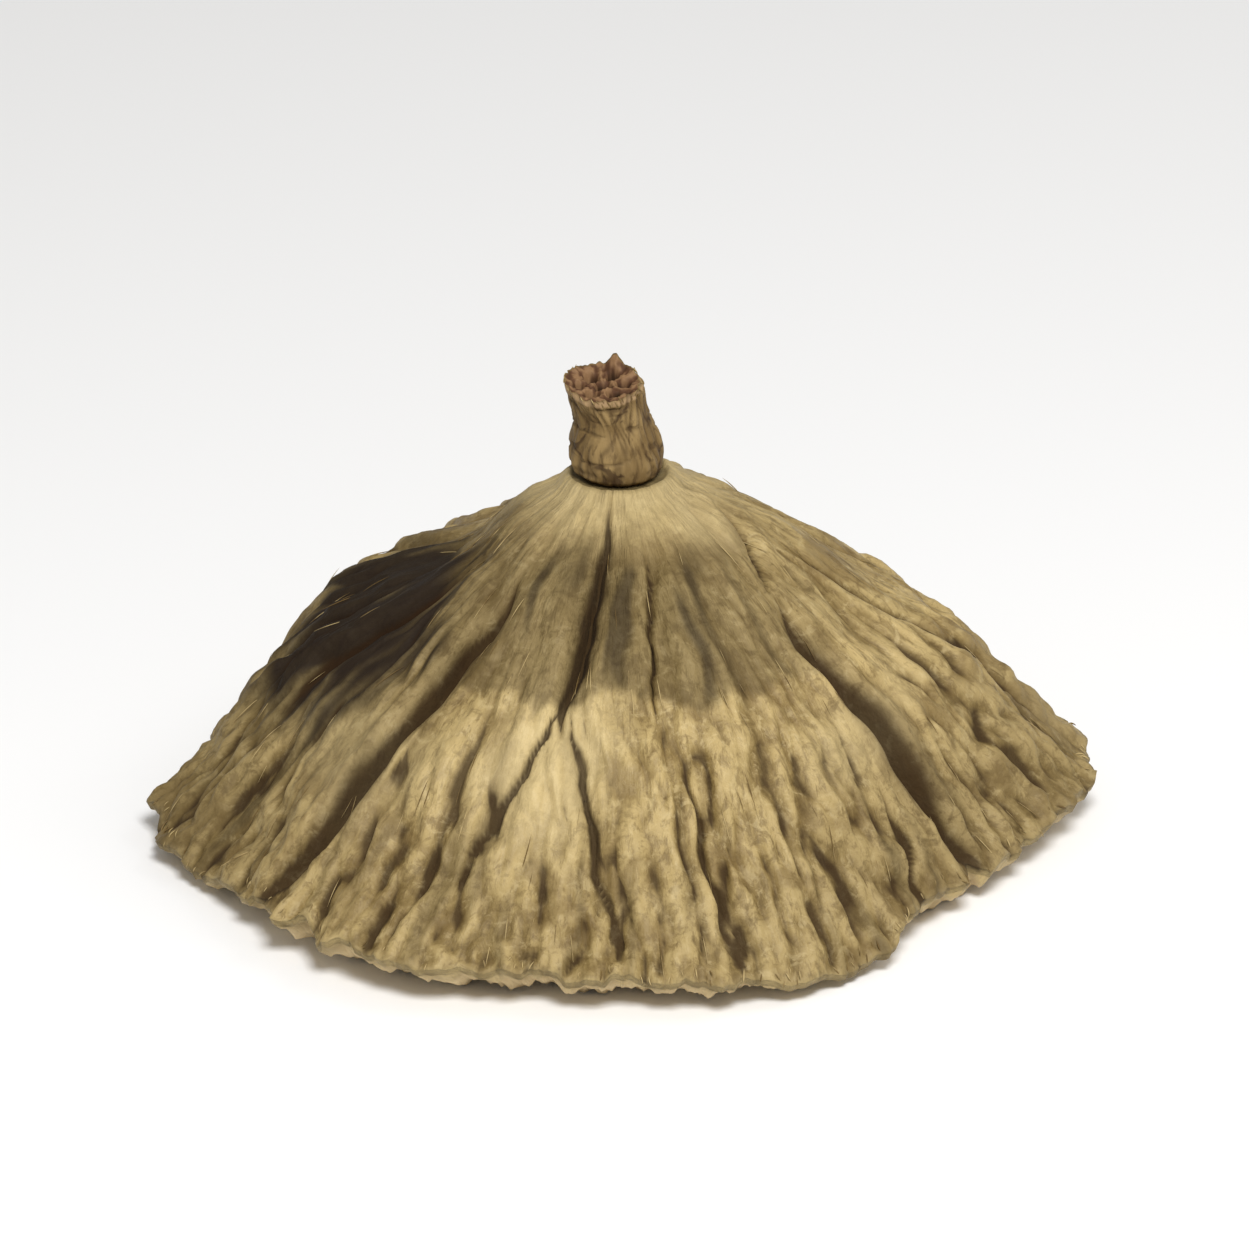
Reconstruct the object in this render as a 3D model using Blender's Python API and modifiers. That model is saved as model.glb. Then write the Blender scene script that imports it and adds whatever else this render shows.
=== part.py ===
"""A dried lotus pod, standing on its seed face with the cut stem up.

Two pieces: the seed pod, one grown solid with empty seed holes in its underside, and the stem stub on
its neck. Metres, +Z up. The origin is on the resting plane, under the centre of the pod's own box.
"""

import math

import bmesh
import bpy
import numpy as np

# ------------------------------------------------------------------ driving dimensions, in metres
RIM_RADIUS = 0.045           # nominal radius of the rim, seen from above
NECK_HEIGHT = 0.0355         # of the neck's flat seat above the resting plane
RIM_HEIGHT = 0.0036          # of the rim's widest line above the resting plane
REST_RADIUS = 0.0365         # of the flat part of the seed face
STEM_LENGTH = 0.0097
STEM_RADIUS = 0.0035         # at the cut end
STEM_FOOT_RADIUS = 0.0043    # at the swollen foot
STEM_LEAN = -0.0015          # sideways shift of the cut end
GAP = 0.0003                 # between the stem's foot and the neck

STEPS = 96                   # facets around the pod
STEM_STEPS = 40              # facets around the stem

# The pod's outer side from neck to rim: share of the nominal radius, share of the height above the rim.
PROFILE = (
    (0.107, 1.00), (0.20, 0.930), (0.31, 0.830), (0.42, 0.715), (0.54, 0.590), (0.67, 0.455),
    (0.765, 0.320), (0.84, 0.200), (0.915, 0.095), (1.0, 0.0),
)
PROFILE_ROWS = 15

# The rim seen from above: azimuth from +X in degrees, radius as a share of the nominal one.
RIM_OUTLINE = (
    (-172, 1.000), (-150, 0.955), (-126, 1.000), (-115, 1.020), (-101, 0.950), (-88, 0.965),
    (-74, 0.985), (-59, 0.960), (-41, 0.875), (-18, 0.930), (2, 1.010), (16, 0.965), (44, 0.985),
    (68, 0.945), (92, 1.010), (118, 0.960), (146, 0.850), (168, 0.900),
)

# Deep folds of the dry skin: azimuth at the upper and lower end (degrees), share of the nominal radius
# at both ends, and depth.
FOLDS = (
    (-98, -101, 0.16, 0.56, 0.0022), (-101, -111, 0.50, 0.70, 0.0012), (-99, -91, 0.54, 0.80, 0.0013),
    (-129, -142, 0.38, 1.02, 0.0024), (-35, -32, 0.46, 0.88, 0.0019), (-78, -74, 0.66, 0.92, 0.0013),
    (-78, -82, 0.24, 0.52, 0.0012), (-12, -34, 0.22, 0.38, 0.0010), (-41, -46, 0.74, 0.96, 0.0013),
    (-160, -165, 0.30, 0.75, 0.0014), (-178, 176, 0.50, 0.95, 0.0016), (-4, 3, 0.40, 0.80, 0.0014),
    (24, 20, 0.25, 0.90, 0.0018), (47, 52, 0.50, 1.00, 0.0014), (75, 70, 0.20, 0.75, 0.0019),
    (96, 101, 0.45, 0.98, 0.0013), (122, 118, 0.22, 0.85, 0.0020), (148, 154, 0.40, 0.92, 0.0015),
)
FOLD_WIDTH = 0.0024

# One shoulder sags under the neck and bulges below: azimuth, half angle (degrees), share of the radius,
# half width of the place, how far it goes in.
DENTS = (
    (150, 42, 0.34, 0.16, 0.0022), (158, 30, 0.66, 0.14, -0.0012), (20, 30, 0.80, 0.12, -0.0009),
    (-60, 25, 0.45, 0.15, -0.0006),
)

# Seed holes, by ring: how many, ring radius, mouth radius, depth, lean of the hole's axis (degrees),
# azimuth of the first.
SEED_RINGS = (
    (1, 0.0000, 0.0054, 0.0170, 0.0, 0.0),
    (7, 0.0146, 0.0052, 0.0150, 6.0, 14.0),
    (12, 0.0288, 0.0057, 0.0110, 14.0, 2.0),
)
HOLE_SIDES = 14
HOLE_ROWS = 8

CHANNELS = 6                 # air channels around the middle one in the cut stem
CHANNEL_RADIUS = 0.00075
CHANNEL_DEPTH = 0.0028
CHANNEL_RING = 0.0020


def clear_scene():
    """Remove whatever the scene holds."""
    for thing in list(bpy.data.objects):
        bpy.data.objects.remove(thing, do_unlink=True)


def new_collection(name):
    """A collection linked to the scene."""
    made = bpy.data.collections.new(name)
    bpy.context.scene.collection.children.link(made)
    return made


def new_object(name, mesh, collection):
    """An object with this mesh, in this collection."""
    made = bpy.data.objects.new(name, mesh)
    collection.objects.link(made)
    return made


def material(name, colour, roughness):
    """A Principled material."""
    made = bpy.data.materials.new(name)
    made.use_nodes = True
    shader = made.node_tree.nodes["Principled BSDF"]
    shader.inputs["Base Color"].default_value = (*colour, 1.0)
    shader.inputs["Roughness"].default_value = roughness
    shader.inputs["Metallic"].default_value = 0.0
    made.diffuse_color = (*colour, 1.0)
    return made


def smooth_through(points, at, period=None):
    """The height at `at` of a smooth curve through (place, height) points, closed if a period is given."""
    places = np.array([p[0] for p in points], float)
    heights = np.array([p[1] for p in points], float)
    if period:
        order = np.argsort(places % period)
        places, heights = (places % period)[order], heights[order]
        places = np.concatenate((places[-2:] - period, places, places[:2] + period))
        heights = np.concatenate((heights[-2:], heights, heights[:2]))
        at = at % period
    slopes = np.gradient(heights, places)
    k = int(np.clip(np.searchsorted(places, at, side="right") - 1, 0, len(places) - 2))
    span = places[k + 1] - places[k]
    t = min(max((at - places[k]) / span, 0.0), 1.0)
    rise = t * t * (3 - 2 * t)
    pull = t * (1 - t) * span * ((1 - t) * slopes[k] - t * slopes[k + 1])
    return heights[k] * (1 - rise) + heights[k + 1] * rise + pull


def angle_between(a, b):
    """The signed difference a - b in degrees, from -180 to 180."""
    return (a - b + 180.0) % 360.0 - 180.0


def fold_depth(azimuth, radius):
    """How deep the folds are at this azimuth (degrees) and distance from the axis."""
    share = radius / RIM_RADIUS
    depth = 0.0
    for top, foot, start, end, deepest in FOLDS:
        along = (share - start) / (end - start)
        if not -0.15 < along < 1.15:
            continue
        path = top + angle_between(foot, top) * min(max(along, 0.0), 1.0)
        across = math.radians(angle_between(azimuth, path)) * radius / FOLD_WIDTH
        ends = math.sin(math.pi * (along + 0.15) / 1.3) ** 0.7
        depth = max(depth, deepest * ends * math.exp(-across * across))
    return depth


def dent_depth(azimuth, share):
    """How far the skin sags in (or bulges out, if negative) at this azimuth and share of the radius."""
    depth = 0.0
    for middle, spread, place, width, deepest in DENTS:
        around = angle_between(azimuth, middle) / spread
        down = (share - place) / width
        depth += deepest * math.exp(-around * around - down * down)
    return depth


def swelling(azimuth):
    """The soft bulges between the folds, from -1 to 1."""
    a = math.radians(azimuth)
    return 0.45 * math.sin(7 * a + 0.6) + 0.35 * math.sin(11 * a + 2.1) + 0.2 * math.sin(19 * a + 4.0)


def shape_pod(x, y, z):
    """Where a point of the turned pod ends up: the rim's outline, its waves, the bulges and the folds."""
    radius = math.hypot(x, y)
    azimuth = math.degrees(math.atan2(y, x))
    share = radius / RIM_RADIUS
    upper = z >= RIM_HEIGHT - 1e-6
    spread = min(share, 1.0) ** 2 if upper else share
    stretch = 1 + (smooth_through(RIM_OUTLINE, azimuth, 360.0) - 1) * spread
    grown = radius * stretch
    wave = 0.0011 * math.sin(math.radians(3 * azimuth + 70)) + 0.0006 * swelling(azimuth + 40)
    wave += 0.0012 * math.exp(-((angle_between(azimuth, -41) / 12) ** 2))
    if upper:
        inward = fold_depth(azimuth, grown) + dent_depth(azimuth, share) - 0.0007 * swelling(azimuth) * share
        grown -= inward * 0.6
        z -= inward * 0.8 * min(1.0, (z - RIM_HEIGHT) / 0.004)
        wave *= math.exp(-(z - RIM_HEIGHT) / 0.006)
    else:
        wave *= z / RIM_HEIGHT
    z += wave
    a = math.radians(azimuth)
    return grown * math.cos(a), grown * math.sin(a), z


def pod_profile():
    """(radius, height) down the pod's outer side, around the rim and back to the axis underneath."""
    rise = NECK_HEIGHT - RIM_HEIGHT
    outer = []
    first, last = PROFILE[0][0], PROFILE[-1][0]
    for k in range(PROFILE_ROWS):
        share = first + (last - first) * k / (PROFILE_ROWS - 1)
        outer.append((share * RIM_RADIUS, RIM_HEIGHT + rise * smooth_through(PROFILE, share)))
    under = [
        (RIM_RADIUS * 0.992, RIM_HEIGHT * 0.66),
        (RIM_RADIUS * 0.965, RIM_HEIGHT * 0.44),
        (RIM_RADIUS * 0.905, RIM_HEIGHT * 0.19),
        (REST_RADIUS, 0.0),
    ]
    return [(0.0, NECK_HEIGHT), *outer, *under, (0.0, 0.0)]


def turned_mesh(name, profile, steps):
    """The closed mesh of a profile at +X turned about Z."""
    mesh = bpy.data.meshes.new(name)
    places = [(radius, 0.0, height) for radius, height in profile]
    mesh.from_pydata(places, [(k, k + 1) for k in range(len(places) - 1)], [])
    blank = new_object(name + "_profile", mesh, bpy.context.scene.collection)
    screw = blank.modifiers.new("turn", "SCREW")
    screw.axis = "Z"
    screw.angle = math.tau
    screw.steps = screw.render_steps = steps
    screw.use_merge_vertices = True
    screw.merge_threshold = 0.00001
    blank_eval = blank.evaluated_get(bpy.context.evaluated_depsgraph_get())
    turned = bpy.data.meshes.new_from_object(blank_eval)
    turned.name = name
    bpy.data.objects.remove(blank, do_unlink=True)
    return turned


def cut(target, cutters, name):
    """Take every object of a collection out of the target."""
    boolean = target.modifiers.new(name, "BOOLEAN")
    boolean.operation = "DIFFERENCE"
    boolean.operand_type = "COLLECTION"
    boolean.collection = cutters
    boolean.solver = "EXACT"


def as_cutter(thing):
    """Show an object as a cutter, left out of the part."""
    thing.hide_render = True
    thing.display_type = "WIRE"


def seed_holes():
    """(centre x, y, mouth radius, depth, lean, azimuth, number) of each seed hole."""
    number = 0
    for count, ring, mouth, depth, lean, first in SEED_RINGS:
        for k in range(count):
            azimuth = first + 360.0 * k / count + 1.6 * math.sin(2.3 * number)
            out = ring * (1 + 0.02 * math.sin(1.7 * number + 1.0))
            reach = out * (1 + 0.35 * (smooth_through(RIM_OUTLINE, azimuth, 360.0) - 1))
            a = math.radians(azimuth)
            size = mouth * (1 + 0.05 * math.sin(3.1 * number + 0.5))
            yield reach * math.cos(a), reach * math.sin(a), size, depth, lean, azimuth, number
            number += 1


def hole_mesh(name, mouth, depth, number):
    """A rounded cup, upside down: an uneven oval at its mouth, near straight walls and a round end."""
    mesh = bpy.data.meshes.new(name)
    shape = bmesh.new()
    bmesh.ops.create_uvsphere(shape, u_segments=HOLE_SIDES, v_segments=HOLE_ROWS, radius=1.0)
    long_way = 1.9 * number
    for vertex in shape.verts:
        x, y, z = vertex.co
        flat = math.hypot(x, y)
        a = math.atan2(y, x)
        full = flat ** 0.62 if z > 0 else flat ** 0.4
        oval = 1 + 0.06 * math.cos(2 * (a - long_way)) + 0.03 * math.cos(3 * a + number)
        vertex.co = (
            mouth * full * oval * math.cos(a),
            mouth * full * oval * math.sin(a),
            z * depth if z > 0 else z * 0.006,
        )
    shape.to_mesh(mesh)
    shape.free()
    return mesh


def build_pod(parts):
    """The seed pod with its seed holes."""
    mesh = turned_mesh("seed_pod", pod_profile(), STEPS)
    for vertex in mesh.vertices:
        vertex.co = shape_pod(*vertex.co)
    pod = new_object("seed_pod", mesh, parts)
    cutters = new_collection("seed_hole_cutters")
    for x, y, mouth, depth, lean, azimuth, number in seed_holes():
        cup = hole_mesh(f"hole_{number:02d}", mouth, depth, number)
        hole = new_object(f"seed_hole_{number:02d}", cup, cutters)
        a = math.radians(azimuth)
        hole.location = (x, y, 0.0)
        hole.rotation_mode = "AXIS_ANGLE"
        hole.rotation_axis_angle = (math.radians(lean), math.sin(a), -math.cos(a), 0.0)
        as_cutter(hole)
    cut(pod, cutters, "seed_holes")
    mesh.materials.append(material("dry_pod_skin", (0.42, 0.32, 0.15), 0.7))
    return pod


def stem_profile():
    """(radius, height) down the stem stub: cut end, shaft, swollen foot and underside."""
    long = STEM_LENGTH
    shaft = [(0.9, 1.0), (1.0, 0.955), (0.985, 0.75), (1.03, 0.5)]
    foot = [(0.965, 0.33), (1.0, 0.19), (0.96, 0.07), (0.84, 0.0)]
    side = [(STEM_RADIUS * share, long * height) for share, height in shaft]
    side += [(STEM_FOOT_RADIUS * share, long * height) for share, height in foot]
    return [(0.0, long), *side, (0.0, 0.0)]


def build_stem(parts):
    """The cut stem with its air channels."""
    mesh = turned_mesh("stem_stub", stem_profile(), STEM_STEPS)
    for vertex in mesh.vertices:
        x, y, z = vertex.co
        a = math.atan2(y, x)
        ribs = 1 + 0.022 * math.sin(11 * a) * math.sin(math.pi * min(1.0, z / STEM_LENGTH + 0.1))
        vertex.co = (x * ribs + STEM_LEAN * (z / STEM_LENGTH) ** 1.5, y * ribs, z + NECK_HEIGHT + GAP)
    stem = new_object("stem_stub", mesh, parts)
    cutters = new_collection("air_channel_cutters")
    for k in range(CHANNELS + 1):
        channel_mesh = bpy.data.meshes.new(f"channel_{k}")
        shape = bmesh.new()
        bmesh.ops.create_cone(
            shape, cap_ends=True, segments=10, radius1=CHANNEL_RADIUS * 0.8, radius2=CHANNEL_RADIUS,
            depth=2 * CHANNEL_DEPTH,
        )
        shape.to_mesh(channel_mesh)
        shape.free()
        channel = new_object(f"air_channel_{k}", channel_mesh, cutters)
        a = math.tau * k / CHANNELS
        out = CHANNEL_RING if k < CHANNELS else 0.0
        top = NECK_HEIGHT + GAP + STEM_LENGTH
        channel.location = (out * math.cos(a) + STEM_LEAN, out * math.sin(a), top)
        as_cutter(channel)
    cut(stem, cutters, "air_channels")
    mesh.materials.append(material("dry_stem", (0.17, 0.11, 0.065), 0.8))
    return stem


def centre_on_origin(pod, things):
    """Shift everything sideways so that the pod's box is centred over the origin."""
    xs = [v.co.x for v in pod.data.vertices]
    ys = [v.co.y for v in pod.data.vertices]
    carrier = bpy.data.objects.new("lotus_pod_axis", None)
    bpy.context.scene.collection.objects.link(carrier)
    carrier.location = (-(min(xs) + max(xs)) / 2, -(min(ys) + max(ys)) / 2, 0.0)
    for thing in things:
        thing.parent = carrier


def main():
    """Build the dried lotus pod."""
    clear_scene()
    parts = new_collection("lotus_pod")
    pod = build_pod(parts)
    stem = build_stem(parts)
    for piece in (pod, stem):
        piece.data.shade_smooth()
        piece.data.set_sharp_from_angle(angle=math.radians(40))
    cutters = [
        thing
        for name in ("seed_hole_cutters", "air_channel_cutters")
        for thing in bpy.data.collections[name].objects
    ]
    centre_on_origin(pod, [pod, stem, *cutters])


main()
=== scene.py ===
"""The looks of a dried lotus pod that stands on its seed face with its cut stem up.

The skin is a cone of dry, pleated tissue: deep folds, wrinkles that keep their width all the way down,
and a ragged rim. Underneath, the seed face carries empty seed holes with thin raised lips. The stem
stub on the neck is a ribbed stalk with air channels in its cut end. Metres, +Z up.
"""

import logging
import math
from collections.abc import Callable
from dataclasses import dataclass, fields
from enum import Enum

import bpy
import numpy as np
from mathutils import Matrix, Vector
from mathutils.geometry import delaunay_2d_cdt


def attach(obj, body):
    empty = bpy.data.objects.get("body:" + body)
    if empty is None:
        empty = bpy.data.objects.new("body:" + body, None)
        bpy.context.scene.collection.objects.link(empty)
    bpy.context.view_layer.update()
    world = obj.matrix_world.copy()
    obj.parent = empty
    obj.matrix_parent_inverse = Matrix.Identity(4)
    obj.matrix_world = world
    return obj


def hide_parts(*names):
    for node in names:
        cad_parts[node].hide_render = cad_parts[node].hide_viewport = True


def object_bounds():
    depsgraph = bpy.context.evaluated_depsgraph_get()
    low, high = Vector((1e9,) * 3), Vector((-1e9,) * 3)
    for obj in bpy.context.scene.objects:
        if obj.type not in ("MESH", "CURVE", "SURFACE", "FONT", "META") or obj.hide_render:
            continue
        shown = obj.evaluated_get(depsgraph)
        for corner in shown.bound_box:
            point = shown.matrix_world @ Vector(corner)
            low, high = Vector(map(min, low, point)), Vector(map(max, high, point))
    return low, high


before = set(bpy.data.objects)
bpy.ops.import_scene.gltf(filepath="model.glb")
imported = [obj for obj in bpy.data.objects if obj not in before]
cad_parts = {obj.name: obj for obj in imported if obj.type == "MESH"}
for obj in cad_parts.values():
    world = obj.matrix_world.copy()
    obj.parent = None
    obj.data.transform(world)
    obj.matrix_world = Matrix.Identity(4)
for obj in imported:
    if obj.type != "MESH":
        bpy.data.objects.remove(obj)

CAD_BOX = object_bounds()
MM = 0.001
TURN = math.tau
DULL_SPECULAR = 0.22
log = logging.getLogger("lotus_pod")


# ------------------------------------------------------------------ fields and curves


@dataclass(frozen=True)
class Grain:
    """A repeating field of soft gradient noise, from about -1 to 1.

    Attributes:
        seed: picks the field.
        columns: cells before it repeats along the first direction.
        rows: cells before it repeats along the second.
    """

    seed: int
    columns: int = 64
    rows: int = 64

    def at(self, u: np.ndarray | float, v: np.ndarray | float) -> np.ndarray:
        """The field at places counted in cells.

        Args:
            u: places along the first direction.
            v: places along the second.

        Returns:
            One value for each place.
        """
        turns = np.random.default_rng(self.seed).uniform(0.0, TURN, (self.rows, self.columns))
        i, j = np.floor(u).astype(int), np.floor(v).astype(int)
        fu, fv = u - i, v - j

        def corner(di: int, dj: int) -> np.ndarray:
            """What one corner of each place's cell adds there."""
            turn = turns[(j + dj) % self.rows, (i + di) % self.columns]
            return np.cos(turn) * (fu - di) + np.sin(turn) * (fv - dj)

        su, sv = (f**3 * (f * (f * 6 - 15) + 10) for f in (fu, fv))
        near = corner(0, 0) * (1 - su) + corner(1, 0) * su
        far = corner(0, 1) * (1 - su) + corner(1, 1) * su
        return 1.6 * (near * (1 - sv) + far * sv)


def steady_grain(
    azimuth: np.ndarray,
    radius: np.ndarray | float,
    along: np.ndarray | float,
    width: float,
    length: float,
    seed: int,
) -> np.ndarray:
    """Noise around the pod whose grain keeps its width: finer grains fade in as the pod widens.

    Args:
        azimuth: angle around the axis, in radians.
        radius: distance from the axis.
        along: distance down the skin.
        width: of one grain, around the pod.
        length: of one grain, down the skin.
        seed: picks the field.

    Returns:
        Values from about -1 to 1.
    """
    wanted = np.log2(np.maximum(TURN * np.broadcast_to(radius, azimuth.shape) / width, 4.0))
    total, weight = np.zeros(np.shape(wanted)), np.zeros(np.shape(wanted))
    for octave in range(int(wanted.min()), int(wanted.max()) + 2):
        share = np.clip(1 - np.abs(wanted - octave), 0, 1)
        if share.max() > 0:
            count = 2**octave
            total += share * Grain(seed + octave, count).at(azimuth / TURN * count, along / length)
            weight += share**2
    return total / np.sqrt(np.maximum(weight, 1e-9))


def smooth_through(
    points: tuple[tuple[float, float], ...], at: np.ndarray, period: float | None = None
) -> np.ndarray:
    """A smooth curve through (place, height) points.

    Args:
        points: the places and heights.
        at: where the curve is read.
        period: after which it closes on itself, if it does.

    Returns:
        The height at each place.
    """
    places = np.array([p[0] for p in points], float)
    heights = np.array([p[1] for p in points], float)
    if period:
        order = np.argsort(places % period)
        places, heights = (places % period)[order], heights[order]
        places = np.concatenate((places[-2:] - period, places, places[:2] + period))
        heights = np.concatenate((heights[-2:], heights, heights[:2]))
        at = at % period
    slopes = np.gradient(heights, places)
    k = np.clip(np.searchsorted(places, at, side="right") - 1, 0, len(places) - 2)
    span = places[k + 1] - places[k]
    t = np.clip((at - places[k]) / span, 0.0, 1.0)
    rise = t * t * (3 - 2 * t)
    pull = t * (1 - t) * span * ((1 - t) * slopes[k] - t * slopes[k + 1])
    return heights[k] * (1 - rise) + heights[k + 1] * rise + pull


def softened(field: np.ndarray, wide: int, tall: int) -> np.ndarray:
    """A grid of values averaged over its neighbours.

    Args:
        field: values by row and column, closed along the columns.
        wide: columns taken on each side.
        tall: rows taken on each side.

    Returns:
        The softened grid.
    """
    total = sum(np.roll(field, k, 1) for k in range(-wide, wide + 1)) / (2 * wide + 1)
    padded = np.pad(total, ((tall, tall), (0, 0)), mode="edge")
    return sum(padded[k : k + len(field)] for k in range(2 * tall + 1)) / (2 * tall + 1)


def step(low: float, high: float, value: np.ndarray) -> np.ndarray:
    """0 below low, 1 above high and a soft rise between; the other way round if low is above high."""
    t = np.clip((value - low) / (high - low), 0.0, 1.0)
    return t * t * (3 - 2 * t)


def angle_between(a: np.ndarray, b: float) -> np.ndarray:
    """The signed difference a - b of two angles in degrees, from -180 to 180."""
    return (a - b + 180.0) % 360.0 - 180.0


# ------------------------------------------------------------------ the pod's own shape


@dataclass(frozen=True)
class Fold:
    """A deep fold of the dry skin, running down the cone.

    Attributes:
        top: azimuth of its upper end, in degrees.
        foot: azimuth of its lower end.
        start: share of the pod's radius at its upper end.
        end: share at its lower end.
        depth: at its deepest.
        width: across its dark slot.
        valley: half width of the soft hollow around it.
        shoulder: distance of its raised shoulders.
    """

    top: float
    foot: float
    start: float
    end: float
    depth: float
    width: float = 0.8 * MM
    valley: float = 2.6 * MM
    shoulder: float = 2.3 * MM

    def at(self, azimuth: np.ndarray, share: np.ndarray, radius: np.ndarray) -> tuple[np.ndarray, np.ndarray]:
        """How deep the fold is, and how much its sides pucker up.

        Args:
            azimuth: in degrees.
            share: of the pod's radius.
            radius: distance from the axis.

        Returns:
            Depth in metres, and the raised shoulders beside it.
        """
        along = (share - self.start) / (self.end - self.start)
        path = self.top + angle_between(np.float64(self.foot), self.top) * np.clip(along, 0.0, 1.0)
        bend = 0.75 * Grain(40, 32).at(along * 5 + self.top, self.foot)
        bend += 0.12 * Grain(41, 64).at(along * 13 + self.top, self.foot)
        across = np.radians(angle_between(azimuth, path)) * radius + bend * MM * step(6 * MM, 20 * MM, radius)
        ends = np.sin(np.pi * np.clip((along + 0.15) / 1.3, 0.0, 1.0)) ** 0.95
        rough = 1 + 0.4 * Grain(42, 64).at(along * 6 + self.foot, self.top)
        slot = self.width * (0.25 + 0.75 * ends) * rough
        cut = self.depth * ends * np.exp(-np.abs(across) / slot)
        valley = 0.35 * self.depth * ends * np.exp(-((across / self.valley) ** 2))
        beside = (np.abs(across) - self.shoulder) / (1.1 * MM)
        return np.maximum(cut, valley), 0.3 * self.depth * ends * np.exp(-(beside**2))


@dataclass(frozen=True)
class Wrinkle:
    """One size of wrinkle that runs down the skin.

    Attributes:
        seed: picks its pattern.
        width: from one to the next, around the pod.
        length: of one, down the skin.
        height: of its crests above its creases, or the other way round if it is negative.
        sharpness: the power of its section; below 1 its creases are sharp.
        level: share of the height that lies below the smooth skin.
    """

    seed: int
    width: float
    length: float
    height: float
    sharpness: float
    level: float

    def at(self, azimuth: np.ndarray, radius: np.ndarray, along: np.ndarray) -> np.ndarray:
        """How far it lifts the skin, at an azimuth in radians, a radius and a distance down."""
        grain = steady_grain(azimuth, radius, along, self.width, self.length, self.seed)
        return self.height * (np.abs(grain) ** self.sharpness - self.level)


PLEAT = Wrinkle(101, 8.0 * MM, 42 * MM, 1.15 * MM, 0.75, 0.4)
CREASE = Wrinkle(201, 3.4 * MM, 24 * MM, 0.75 * MM, 0.7, 0.4)
LINE = Wrinkle(301, 1.5 * MM, 12 * MM, 0.30 * MM, 0.75, 0.35)
CREST = Wrinkle(1101, 6.0 * MM, 26 * MM, -0.8 * MM, 1.0, 0.35)
FLAKE = Wrinkle(1001, 2.6 * MM, 8 * MM, 0.8 * MM, 0.7, 0.4)


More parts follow.
